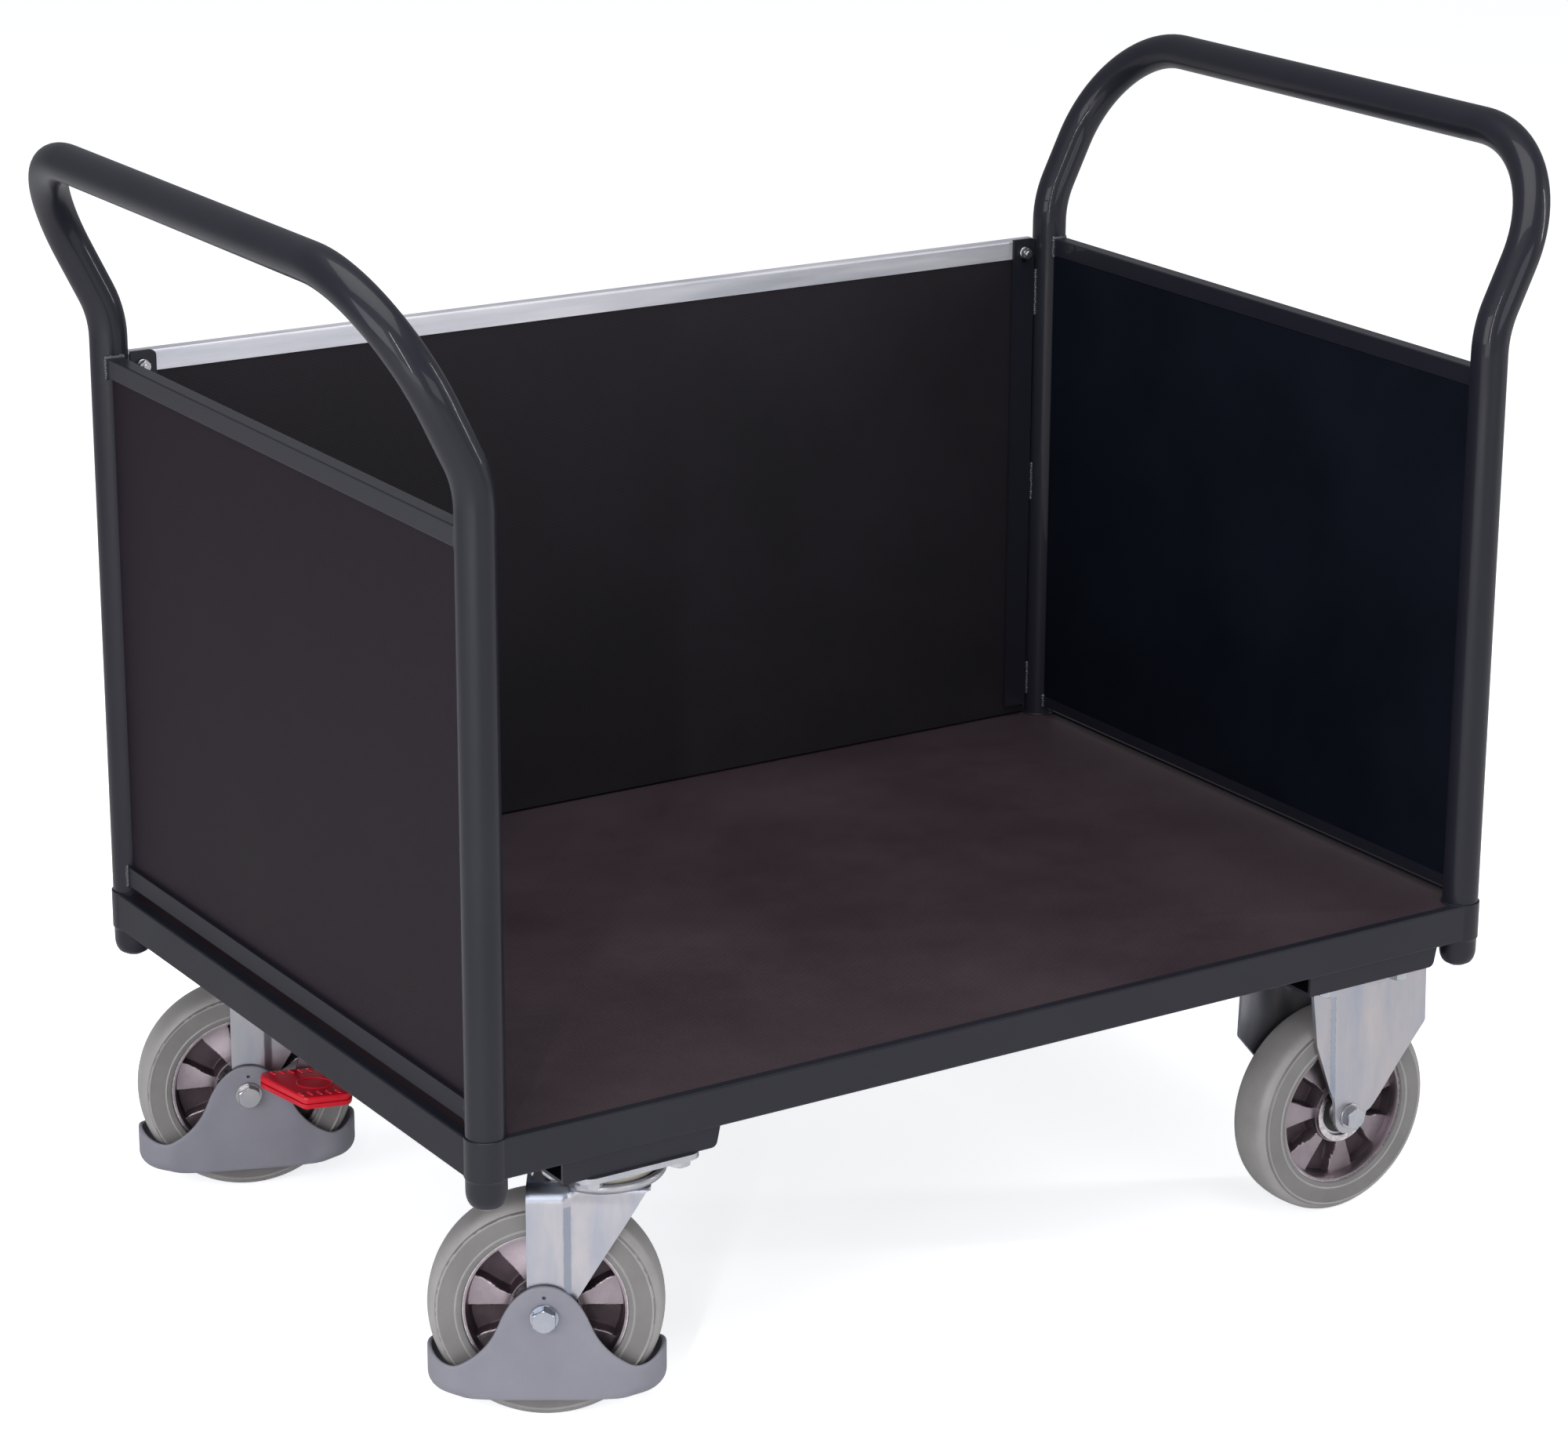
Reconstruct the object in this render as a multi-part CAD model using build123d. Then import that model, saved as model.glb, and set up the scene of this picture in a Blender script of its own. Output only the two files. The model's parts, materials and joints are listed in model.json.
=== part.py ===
from build123d import *
import os

os.makedirs("parts", exist_ok=True)

# Three-walled platform trolley: +X runs from the swivel end to the fixed end, the open long side
# faces -Y, the back wall stands at +Y, and the floor is Z = 0 below the middle of the trolley.

# End frames of bent tube
TUBE_R = 16.85                 # 33.7 mm tube
TUBE_WALL = 2.5
POST_X = 514.0
POST_Y = 338.5
TUBE_FOOT_Z = 254.0
KINK_Z = 842.5                 # where the posts start to lean outwards
KINK_BEND_R = 96.0
BAR_X = 592.0                  # push bar centre
BAR_Z = 1002.0
BAR_BEND_R = 112.0

# Platform frame
FRAME_X = 531.0                # outer faces
FRAME_Y = 355.0
FRAME_TOP = 300.0
FRAME_H = 35.0
FRAME_WEB = 3.5
LIP_W = 9.0                    # width of the raised lip round the deck
LEDGE_W = 30.0
LEDGE_T = 3.5
DECK_T = 12.0
DECK_TOP = FRAME_TOP - 1.5
DECK_UNDER = DECK_TOP - DECK_T
SOCKET_R = 18.3
SOCKET_TAPER_Z = 252.0
SOCKET_FOOT_Z = 239.0
SOCKET_FOOT_R = 10.0
BEARER_X = [-376.0, -125.0, 125.0, 402.0]
BEARER_W = 30.0
BEARER_WALL = 2.0

# End rails and panels
RAIL_OUT = 9.3                 # rail faces, measured from the post centre plane
RAIL_IN = 5.6
UPPER_RAIL_TOP = 805.5
UPPER_RAIL_H = 18.0
LOWER_RAIL_FOOT = 309.0
LOWER_RAIL_LIP_TOP = 327.0
LOWER_RAIL_STEP = 319.5
RAIL_WALL = 1.6
PANEL_T = 10.0
PANEL_HALF_Y = 321.3

# Back wall
BACK_FACE_Y = 341.0
BACK_T = 11.0
BACK_HALF_X = 496.6
BACK_FOOT = 301.0
BACK_TOP = 802.5
CHANNEL_T = 1.5
CHANNEL_FOOT = 785.0
BRACKET_INNER_X = 469.5
BRACKET_OUTER_X = 497.0
BRACKET_T = 3.0
BRACKET_FOOT = 310.0
BRACKET_TOP = 805.0
BRACKET_TACKS = [(322.0, 353.0), (532.0, 568.0), (727.0, 771.0)]
BRACKET_SLIT = 2.6
BRACKET_BOLT_X = 482.5
BRACKET_BOLT_Z = 791.0

# Castor cross members
CROSS_FOOT = 246.0
CROSS_TOP = FRAME_TOP - FRAME_H
CROSS_Y = 352.0
CROSS_L = 150.0
CROSS_T = 3.0
CROSS_LEFT_X = -451.0
CROSS_RIGHT_X = 327.0
CROSS_INSET = 20.0

# Castors
WHEEL_R = 100.0
TYRE_HALF = 25.0
RIM_R = 69.6
RIM_HALF = 22.0
HUB_R = 30.0
BEARING_R = 23.5
BEARING_W = 14.0
SLEEVE_R = 10.0
SLEEVE_CLEAR = 0.05
SPOKES = 7
CASTOR_Y = 288.0
SWIVEL_X = -376.0
FIXED_X = 408.0
TRAIL = 49.0
FRONT_SWIVEL_DEG = -32.4       # how far each swivel castor is turned at rest
BACK_SWIVEL_DEG = -21.0
PLATE_TOP = CROSS_FOOT
PLATE_T = 5.0
PLATE_X = 115.0
PLATE_Y = 135.0
PLATE_HOLE_X = 42.0
PLATE_HOLE_Y = 52.5
FIXED_HOLE_Y = 42.0
BOLT_R = 5.0
LEG_OUT = 33.0                 # outer face of a fork leg, from the wheel's mid plane
LEG_T = 4.5
CROWN_TOP = 216.0
CROWN_UNDER = 210.0
HEAD_R = 53.0
HEAD_TOP = 227.0
KINGPIN_R = 8.0
AXLE_R = 6.0
GUARD_OUT = 37.2
GUARD_T = 3.8
GUARD_HALF_X = 101.0
GUARD_FOOT = 24.5

# Brake on the back left castor, placed from its axle
BRAKE_PIN_X = 55.0
BRAKE_PIN_Z = 192.0
BRAKE_PIN_R = 4.0
PEDAL_TOP = 124.0
PEDAL_T = 13.0
PEDAL_TILT = 3.6


def write(shape, node):
    """Write one sub-part; a list of separate solids becomes one compound."""
    if isinstance(shape, (list, tuple)):
        shape = Compound(children=list(shape))
    shape.label = node
    export_step(shape, "parts/" + node + ".step")
    print(node, round(shape.volume / 1000, 1), "cm3")


def plate_bolt_places(centre_x, hole_y):
    """Bolt centres of the front and the back castor plate on one cross member."""
    offsets = [(dx, dy) for dx in (-PLATE_HOLE_X, PLATE_HOLE_X) for dy in (-hole_y, hole_y)]
    return [(centre_x + dx, y + dy) for y in (-CASTOR_Y, CASTOR_Y) for dx, dy in offsets]


def box(x0, x1, y0, y1, z0, z1):
    return Pos((x0 + x1) / 2, (y0 + y1) / 2, (z0 + z1) / 2) * Box(x1 - x0, y1 - y0, z1 - z0)


def rod(radius, z0, z1, x=0.0, y=0.0):
    return Pos(x, y, (z0 + z1) / 2) * Cylinder(radius, z1 - z0)


def rod_y(radius, y0, y1, x=0.0, z=0.0):
    """A round bar along Y."""
    return Pos(x, (y0 + y1) / 2, z) * Rot(90, 0, 0) * Cylinder(radius, y1 - y0)


def hexagon_y(across_flats, y0, y1, x=0.0, z=0.0):
    """A hexagon head or nut whose axis runs along Y."""
    sketch = RegularPolygon(across_flats / 2, 6, major_radius=False)
    return Pos(x, y1, z) * Rot(90, 0, 0) * extrude(sketch, y1 - y0)


def hexagon_z(across_flats, z0, z1, x=0.0, y=0.0):
    return Pos(x, y, z0) * extrude(RegularPolygon(across_flats / 2, 6, major_radius=False), z1 - z0)


def side_plate(outline, y0, y1):
    """Extrude an outline drawn in X and Z between two Y planes."""
    return extrude(Plane.XZ.offset(-y1) * make_face(outline), y1 - y0)


# ---------------------------------------------------------------- platform frame

def rail_section():
    """Edge section, drawn as distance in from the outer face against height."""
    points = [
        (0, FRAME_TOP - FRAME_H), (0, FRAME_TOP), (LIP_W, FRAME_TOP), (LIP_W, DECK_UNDER),
        (LEDGE_W, DECK_UNDER), (LEDGE_W, DECK_UNDER - LEDGE_T), (FRAME_WEB, DECK_UNDER - LEDGE_T),
        (FRAME_WEB, FRAME_TOP - FRAME_H),
    ]
    face = make_face(Polyline(*points, close=True))
    outer = face.vertices().sort_by(Axis.X)[:2]
    return fillet(outer, 1.7)


def sockets():
    """Cup that closes the foot of a post and carries the two frame rails that meet there."""
    nose = Spline(
        (SOCKET_FOOT_R, SOCKET_FOOT_Z), (15.0, 242.8), (SOCKET_R, SOCKET_TAPER_Z),
        tangents=[(1, 0), (0, 1)],
    )
    rest = Polyline(
        (SOCKET_R, SOCKET_TAPER_Z), (SOCKET_R, FRAME_TOP), (0, FRAME_TOP), (0, SOCKET_FOOT_Z),
        (SOCKET_FOOT_R, SOCKET_FOOT_Z),
    )
    cup = revolve(Plane.XZ * make_face([nose, rest]), Axis.Z)
    cup -= rod(TUBE_R + 0.05, TUBE_FOOT_Z, FRAME_TOP + 1)
    cup -= rod(5.2, SOCKET_FOOT_Z - 1, TUBE_FOOT_Z + 1)
    return cup


def frame_rails(socket_holes):
    section = rail_section()
    long_rail = extrude(Plane.YZ.offset(-POST_X) * Pos(-FRAME_Y, 0) * section, 2 * POST_X)
    front = long_rail - socket_holes
    back = mirror(front, Plane.XZ)
    short_rail = extrude(Plane.XZ.offset(-POST_Y) * Pos(-FRAME_X, 0) * section, 2 * POST_Y)
    left = short_rail - socket_holes - front - back
    right = mirror(left, Plane.YZ)
    return front, back, left, right


def cross_member(x0, bolt_x, hole_y):
    """Folded channel under the frame; its left mouth is open and its left web is set back."""
    x1 = x0 + CROSS_L
    outer = make_face(Polyline(
        (x0, CROSS_FOOT), (x1 - 4, CROSS_FOOT), (x1, CROSS_TOP), (x1 - CROSS_T, CROSS_TOP),
        (x1 - 4 - CROSS_T, CROSS_FOOT + CROSS_T), (x0, CROSS_FOOT + CROSS_T), close=True,
    ))
    corner = [v for v in outer.vertices() if abs(v.X - x1 + 4) < 0.1 and v.Y < CROSS_FOOT + 1]
    sheet = extrude(Plane.XZ.offset(CROSS_Y) * fillet(corner, 6.0), -2 * CROSS_Y)
    blank = make_face(Polyline(
        (x0, CROSS_FOOT), (x1 - 4, CROSS_FOOT), (x1, CROSS_TOP), (x0, CROSS_TOP), close=True,
    ))
    corner = [v for v in blank.vertices() if abs(v.X - x1 + 4) < 0.1]
    cheek = extrude(Plane.XZ.offset(CROSS_Y) * fillet(corner, 6.0), -CROSS_T)
    inner = box(x0 + CROSS_INSET, x0 + CROSS_INSET + CROSS_T, -CROSS_Y, CROSS_Y, CROSS_FOOT, CROSS_TOP)
    member = sheet + cheek + mirror(cheek, Plane.XZ) + inner
    for x, y in plate_bolt_places(bolt_x, hole_y):
        member -= rod(BOLT_R + 0.1, CROSS_FOOT - 1, CROSS_FOOT + CROSS_T + 1, x, y)
    return member


def build_platform():
    socket = sockets()
    spots = {
        "front_left": (-POST_X, -POST_Y), "front_right": (POST_X, -POST_Y),
        "back_left": (-POST_X, POST_Y), "back_right": (POST_X, POST_Y),
    }
    bolts = []
    holes = None
    for name, (x, y) in spots.items():
        write(Pos(x, y, 0) * socket, "corner_socket_" + name)
        hole = rod(SOCKET_R + 0.02, SOCKET_FOOT_Z - 1, FRAME_TOP + 1, x, y)
        holes = hole if holes is None else holes + hole
        head = Pos(x, y, SOCKET_FOOT_Z - 1.25) * Cylinder(9.5, 2.5)
        head = fillet(head.faces().sort_by(Axis.Z)[0].edges(), 2.0)
        bolts.append(head + rod(5.0, SOCKET_FOOT_Z - 1, SOCKET_FOOT_Z + 6, x, y))
    write(bolts, "socket_bolts")
    front, back, left, right = frame_rails(holes)
    write(front, "frame_rail_front")
    write(back, "frame_rail_back")
    write(left, "frame_rail_left")
    write(right, "frame_rail_right")
    deck_x = FRAME_X - LIP_W - 0.3
    deck_y = FRAME_Y - LIP_W - 0.3
    deck = box(-deck_x, deck_x, -deck_y, deck_y, DECK_UNDER, DECK_TOP) - holes
    write(deck, "deck_panel")
    end_y = FRAME_Y - LEDGE_W - 0.5
    bearers = []
    for x in BEARER_X:
        tube = box(x - BEARER_W / 2, x + BEARER_W / 2, -end_y, end_y, CROSS_TOP, DECK_UNDER)
        half = BEARER_W / 2 - BEARER_WALL
        hollow = box(x - half, x + half, -end_y, end_y, CROSS_TOP + BEARER_WALL, DECK_UNDER - BEARER_WALL)
        bearers.append(tube - hollow)
    write(bearers, "deck_bearers")
    left_member = cross_member(CROSS_LEFT_X, SWIVEL_X, PLATE_HOLE_Y)
    right_member = cross_member(CROSS_RIGHT_X, FIXED_X, FIXED_HOLE_Y)
    write(left_member, "castor_cross_member_left")
    write(right_member, "castor_cross_member_right")


# ---------------------------------------------------------------- end walls

def end_tube():
    """Right-hand end frame: two posts that lean outwards above the rail and join in the push bar."""
    route = FilletPolyline(
        (POST_X, -POST_Y, TUBE_FOOT_Z), (POST_X, -POST_Y, KINK_Z), (BAR_X, -POST_Y, BAR_Z),
        (BAR_X, POST_Y, BAR_Z), (POST_X, POST_Y, KINK_Z), (POST_X, POST_Y, TUBE_FOOT_Z),
        radius=[KINK_BEND_R, BAR_BEND_R, BAR_BEND_R, KINK_BEND_R],
    )
    start = Plane((POST_X, -POST_Y, TUBE_FOOT_Z), z_dir=(0, 0, 1))
    ring = Circle(TUBE_R) - Circle(TUBE_R - TUBE_WALL)
    return sweep(start * ring, path=route)


def upper_rail():
    z0 = UPPER_RAIL_TOP - UPPER_RAIL_H
    x0 = POST_X - RAIL_IN
    x1 = POST_X + RAIL_OUT
    bar = box(x0, x1, -POST_Y, POST_Y, z0, UPPER_RAIL_TOP)
    bar = fillet(bar.edges().filter_by(Axis.Y), 1.2)
    bar -= box(x0 + RAIL_WALL, x1 - RAIL_WALL, -POST_Y, POST_Y, z0 + RAIL_WALL, UPPER_RAIL_TOP - RAIL_WALL)
    return cope(bar, z0)


def lower_rail():
    """Rebated bottom rail: the outer lip stands higher than the step that carries the panel."""
    x0 = POST_X - RAIL_IN
    x1 = POST_X + RAIL_OUT
    lip = POST_X + PANEL_T / 2
    section = Polyline(
        (x0, LOWER_RAIL_FOOT), (x1, LOWER_RAIL_FOOT), (x1, LOWER_RAIL_LIP_TOP),
        (lip, LOWER_RAIL_LIP_TOP), (lip, LOWER_RAIL_STEP), (x0, LOWER_RAIL_STEP), close=True,
    )
    bar = extrude(Plane.XZ.offset(POST_Y) * make_face(section), -2 * POST_Y)
    bar -= box(x0 + RAIL_WALL, x1 - RAIL_WALL, -POST_Y, POST_Y,
               LOWER_RAIL_FOOT + RAIL_WALL, LOWER_RAIL_STEP - RAIL_WALL)
    return cope(bar, LOWER_RAIL_FOOT)


def cope(bar, z0):
    """Cut the rail's ends round the two posts."""
    for y in (-POST_Y, POST_Y):
        bar -= rod(TUBE_R + 0.02, z0 - 5, z0 + 30, POST_X, y)
    return bar


def build_ends():
    panel = box(POST_X - PANEL_T / 2, POST_X + PANEL_T / 2, -PANEL_HALF_Y, PANEL_HALF_Y,
                LOWER_RAIL_STEP, UPPER_RAIL_TOP - UPPER_RAIL_H)
    pieces = {
        "end_tube": end_tube(), "upper_rail": upper_rail(), "lower_rail": lower_rail(), "end_panel": panel,
    }
    for name, piece in pieces.items():
        write(piece, name + "_right")
        write(mirror(piece, Plane.YZ), name + "_left")


# ---------------------------------------------------------------- back wall

def back_bracket(rounded):
    """Right-hand bracket: tacked to the post at three places, slit free of it between them.

    The two brackets are the same pressing, so the rounded corner is the inner one only at the left.
    """
    y1 = BACK_FACE_Y - CHANNEL_T
    plate = box(BRACKET_INNER_X, BRACKET_OUTER_X, y1 - BRACKET_T, y1, BRACKET_FOOT, BRACKET_TOP)
    inner, outer = plate.edges().filter_by(Axis.Y).group_by(Axis.Z)[-1].sort_by(Axis.X)
    plate = fillet(inner if rounded == "inner" else outer, 6.0)
    slit_from = BRACKET_FOOT - 1
    for low, high in BRACKET_TACKS + [(BRACKET_TOP + 1, BRACKET_TOP + 2)]:
        if low > slit_from + 3:
            plate -= box(BRACKET_OUTER_X - BRACKET_SLIT, BRACKET_OUTER_X + 1, y1 - BRACKET_T - 1, y1 + 1,
                         slit_from, low)
        slit_from = high
    slot = SlotOverall(16, 7, rotation=90)
    hole = extrude(Plane.XZ.offset(-y1 - 1) * Pos(BRACKET_BOLT_X, BRACKET_BOLT_Z - 2) * slot, 6)
    return plate - hole


def build_back():
    panel = box(-BACK_HALF_X, BACK_HALF_X, BACK_FACE_Y, BACK_FACE_Y + BACK_T, BACK_FOOT, BACK_TOP)
    y0 = BACK_FACE_Y - CHANNEL_T
    y1 = BACK_FACE_Y + BACK_T + CHANNEL_T
    channel = box(-BACK_HALF_X, BACK_HALF_X, y0, y1, CHANNEL_FOOT, BACK_TOP + CHANNEL_T)
    top_edges = channel.edges().filter_by(Axis.X).group_by(Axis.Z)[-1]
    channel = fillet(top_edges, 2.4)
    board_y = BACK_FACE_Y + BACK_T
    channel -= box(-BACK_HALF_X - 1, BACK_HALF_X + 1, BACK_FACE_Y, board_y, CHANNEL_FOOT - 1, BACK_TOP)
    bolts = []
    for x in (-BRACKET_BOLT_X, BRACKET_BOLT_X):
        hole = rod_y(3.1, y0 - 1, y1 + 1, x, BRACKET_BOLT_Z)
        panel -= hole
        channel -= hole
        seat = y0 - BRACKET_T
        bolt = rod_y(3.0, seat - 8, y1 + 1, x, BRACKET_BOLT_Z) + rod_y(6.0, y1, y1 + 2.6, x, BRACKET_BOLT_Z)
        washer = rod_y(6.2, seat - 1.2, seat, x, BRACKET_BOLT_Z)
        bolts.append(bolt + washer + hexagon_y(10, seat - 6.2, seat - 1.2, x, BRACKET_BOLT_Z))
    write(panel, "back_panel")
    write(channel, "back_panel_channel")
    write(back_bracket("outer"), "back_bracket_right")
    write(mirror(back_bracket("inner"), Plane.YZ), "back_bracket_left")
    write(bolts, "bracket_bolts")


# ---------------------------------------------------------------- wheels

def tyre():
    half = make_face(Polyline(
        (0, RIM_R), (TYRE_HALF - 1.5, RIM_R), (TYRE_HALF, RIM_R + 4), (TYRE_HALF, 88),
        (TYRE_HALF - 6.5, 97.2), (TYRE_HALF - 14, 99.3), (0, WHEEL_R), close=True,
    ))
    shoulders = [v for v in half.vertices() if v.X > 5 and v.Y > 85]
    half = fillet(shoulders, 5.0)
    section = half + mirror(half, Plane.YZ)
    return revolve(Plane.YZ * section, Axis.Y)


def rim():
    half = make_face(Polyline(
        (0, BEARING_R), (RIM_HALF, BEARING_R), (RIM_HALF, HUB_R), (6, HUB_R + 5), (4.5, 60),
        (RIM_HALF - 2, 65.5), (RIM_HALF, 66.2), (RIM_HALF, RIM_R), (0, RIM_R), close=True,
    ))
    body = revolve(Plane.YZ * (half + mirror(half, Plane.YZ)), Axis.Y)
    spoke_outline = Polyline(
        (BEARING_R + 3, -8), (62, -11), (62, 11), (BEARING_R + 3, 8), close=True,
    )
    spoke = side_plate(spoke_outline, -RIM_HALF + 4, RIM_HALF - 4)
    for index in range(SPOKES):
        body += Rot(0, index * 360 / SPOKES, 0) * spoke
    return body


def bearings():
    ring = Circle(BEARING_R) - Circle(SLEEVE_R + SLEEVE_CLEAR)
    disc = extrude(Plane.XZ * ring, BEARING_W)
    return [Pos(0, RIM_HALF - 0.5, 0) * disc, Pos(0, BEARING_W - RIM_HALF + 0.5, 0) * disc]


def axle_set(head_seat, nut_seat):
    """Axle bolt, washers, nut and the sleeve that the bearings run on, about the Y axis."""
    bolt = rod_y(AXLE_R, head_seat - 1, nut_seat + 13)
    head = hexagon_y(19, head_seat - 9.4, head_seat - 1.9)
    head &= rod_y(10.4, head_seat - 9.4, head_seat - 1.9)
    bolt += head
    front_washer = rod_y(12.2, head_seat - 1.9, head_seat) - rod_y(AXLE_R, -90, 90)
    bolt += front_washer
    nut = hexagon_y(19, nut_seat + 1.9, nut_seat + 11.9) + rod_y(12.2, nut_seat, nut_seat + 1.9)
    nut -= rod_y(AXLE_R + 0.05, -90, 90)
    sleeve = rod_y(SLEEVE_R, LEG_T - LEG_OUT, LEG_OUT - LEG_T) - rod_y(AXLE_R + 0.05, -90, 90)
    return [bolt, nut, sleeve]


def wheel_nodes(place, name):
    """Tyre, rim and bearings of one wheel, at the axle's place."""
    write(place * tyre(), "tyre_" + name)
    write(place * rim(), "rim_" + name)
    write([place * ring for ring in bearings()], "wheel_bearings_" + name)


# ---------------------------------------------------------------- swivel castors, about the swivel axis

AXLE_X = -TRAIL


def fork_envelope(x0, x1, foot, top):
    """Pressed-steel envelope along X with both upper edges rolled over."""
    blank = box(x0, x1, -LEG_OUT, LEG_OUT, foot, top)
    rolled = blank.edges().filter_by(Axis.X).group_by(Axis.Z)[-1]
    return fillet(rolled, 8.0)


def swivel_fork():
    lower = Polyline(
        (AXLE_X - 14.5, CROWN_TOP), (AXLE_X - 15.5, 96), (AXLE_X - 9, 84), (AXLE_X + 9, 84),
        (AXLE_X + 17, 92), (AXLE_X + 80.5, 203), (AXLE_X + 100, CROWN_TOP), close=True,
    )
    face = make_face(lower)
    foot_corners = [v for v in face.vertices() if v.Y < 97]
    face = fillet(foot_corners, 6.0)
    outline = extrude(Plane.XZ.offset(60) * face, -120)
    shell = fork_envelope(AXLE_X - 20, 60, 80, CROWN_TOP) & outline
    cavity = box(-120, 120, LEG_T - LEG_OUT, LEG_OUT - LEG_T, 0, CROWN_UNDER)
    cavity = fillet(cavity.edges().filter_by(Axis.X).group_by(Axis.Z)[-1], 3.5)
    fork = shell - cavity
    dish = Pos(0, 0, (HEAD_TOP + CROWN_TOP - 3) / 2) * Cylinder(HEAD_R, HEAD_TOP - CROWN_TOP + 3)
    dish = fillet(dish.faces().sort_by(Axis.Z)[0].edges(), 5.0)
    dish = fillet(dish.faces().sort_by(Axis.Z)[-1].edges(), 1.5)
    fork += dish
    fork -= rod(HEAD_R - 6, HEAD_TOP - 4, HEAD_TOP + 1)
    fork += rod(30, HEAD_TOP - 5, HEAD_TOP - 1)
    fork -= rod(KINGPIN_R + 0.06, 190, 240)
    fork -= rod_y(AXLE_R + 0.05, -60, 60, AXLE_X, WHEEL_R)
    return fork


def swivel_plate():
    z0 = PLATE_TOP - PLATE_T
    plate = extrude(Pos(0, 0, z0) * RectangleRounded(PLATE_X, PLATE_Y, 13), PLATE_T)
    raceway = Pos(0, 0, z0 - 2.4) * Cylinder(47, 4.8)
    raceway = fillet(raceway.faces().sort_by(Axis.Z)[0].edges(), 2.5)
    plate += raceway
    for x in (-PLATE_HOLE_X, PLATE_HOLE_X):
        for y in (-PLATE_HOLE_Y, PLATE_HOLE_Y):
            plate -= rod(BOLT_R + 0.1, z0 - 1, PLATE_TOP + 1, x, y)
    return plate - rod(KINGPIN_R + 0.02, z0 - 10, PLATE_TOP + 1)


def swivel_seal():
    ring = rod(45.5, HEAD_TOP - 2.4, PLATE_TOP - PLATE_T - 4.8) - rod(33.0, 200, 250)
    return ring


def kingpin():
    pin = rod(KINGPIN_R, 200.5, PLATE_TOP)
    return pin + hexagon_z(24, 201.5, 209.5)


def foot_guard():
    """Moulded ring round the foot of the wheel, rising on both sides into a plate on the axle."""
    ring = RectangleRounded(2 * GUARD_HALF_X, 2 * GUARD_OUT, 33)
    core = RectangleRounded(2 * (GUARD_HALF_X - GUARD_T), 2 * (GUARD_OUT - GUARD_T), 33 - GUARD_T)
    tube = extrude(Pos(0, 0, GUARD_FOOT) * (ring - core), 130 - GUARD_FOOT)
    right = [
        (101.5, 61.8), (96, 58.2), (91, 56), (85, 54.6), (77, 54.4), (67.5, 58.4), (58.5, 64.6),
        (50.5, 72.5), (44, 81.5), (39.5, 90.5), (36, 99), (31.5, 107.5), (25.5, 115.8), (18, 122.6),
        (0, 128.5),
    ]
    left = [(-x, z) for x, z in right[-2::-1]]
    top = Spline(*right, *left, tangents=[(-1, 0), (-1, 0)])
    base = Polyline((-101.5, 61.8), (-101.5, GUARD_FOOT), (101.5, GUARD_FOOT), (101.5, 61.8))
    outline = extrude(Plane.XZ.offset(60) * make_face([top, base]), -120)
    guard = tube & outline
    guard -= rod_y(AXLE_R + 0.05, -60, 60, 0, WHEEL_R)
    guard -= rod_y(1.7, -60, -20, 0, 118.3)
    for side in (-1, 1):
        low, high = sorted((side * (LEG_OUT + 0.02), side * (GUARD_OUT - GUARD_T + 0.5)))
        boss = rod_y(15, low, high, 0, WHEEL_R) - rod_y(AXLE_R + 0.05, -60, 60, 0, WHEEL_R)
        guard += boss
    return Pos(AXLE_X, 0, 0) * guard


def build_swivel_castor(name, y, turn, fork):
    place = Pos(SWIVEL_X, y, 0)
    turned = place * Rot(0, 0, turn)
    write(place * swivel_plate(), "swivel_plate_" + name)
    write(place * swivel_seal(), "swivel_seal_" + name)
    write(place * kingpin(), "kingpin_" + name)
    write(turned * fork, "swivel_fork_" + name)
    write(turned * foot_guard(), "foot_guard_" + name)
    axle = turned * Pos(AXLE_X, 0, WHEEL_R)
    write([axle * piece for piece in axle_set(-GUARD_OUT, GUARD_OUT)], "axle_set_" + name)
    wheel_nodes(axle, name)
    return turned


# ---------------------------------------------------------------- brake, from the axle of its castor

def brake_pedal():
    """Moulded foot pad that stands out beside the wheel and slopes away from the fork."""
    pad = make_face(Polyline((4, -40.6), (62, -38.8), (92, -88), (89, -99.5), (46, -103), close=True))
    pad = fillet(pad.vertices(), 7.0)
    slab = extrude(pad, PEDAL_T)
    slab = fillet(slab.faces().sort_by(Axis.Z)[-1].edges(), 2.2)
    tilt = Pos(0, -41, PEDAL_TOP - PEDAL_T) * Rot(PEDAL_TILT, 0, 0) * Pos(0, 41, 0)
    return tilt * slab


def brake_lever():
    """Steel arm on the outside of the fork leg, from the pin down to the pad."""
    arm = make_face(Polyline(
        (BRAKE_PIN_X - 10, BRAKE_PIN_Z + 6), (BRAKE_PIN_X + 10, BRAKE_PIN_Z + 6), (72, 150), (66, 112),
        (42, 112), (52, 150), close=True,
    ))
    arm = fillet(arm.vertices(), 4.0)
    plate = extrude(Plane.XZ.offset(LEG_OUT + 0.5) * arm, 3.2)
    lug = box(45, 63, -50.0, -LEG_OUT - 0.6, 113.0, 117.5)
    return plate + lug - rod_y(BRAKE_PIN_R, -60, 60, BRAKE_PIN_X, BRAKE_PIN_Z)


def brake_shoe():
    """Steel block between the fork legs that turns down onto the tread."""
    block = make_face(Polyline(
        (BRAKE_PIN_X - 5, BRAKE_PIN_Z + 6.5), (BRAKE_PIN_X + 6, BRAKE_PIN_Z + 6.5), (90, 176), (88, 168),
        (BRAKE_PIN_X + 4, BRAKE_PIN_Z - 5), (BRAKE_PIN_X - 5, BRAKE_PIN_Z - 4), close=True,
    ))
    shoe = extrude(Plane.XZ.offset(22) * block, -44)
    return shoe - rod_y(BRAKE_PIN_R, -60, 60, BRAKE_PIN_X, BRAKE_PIN_Z)


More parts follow.
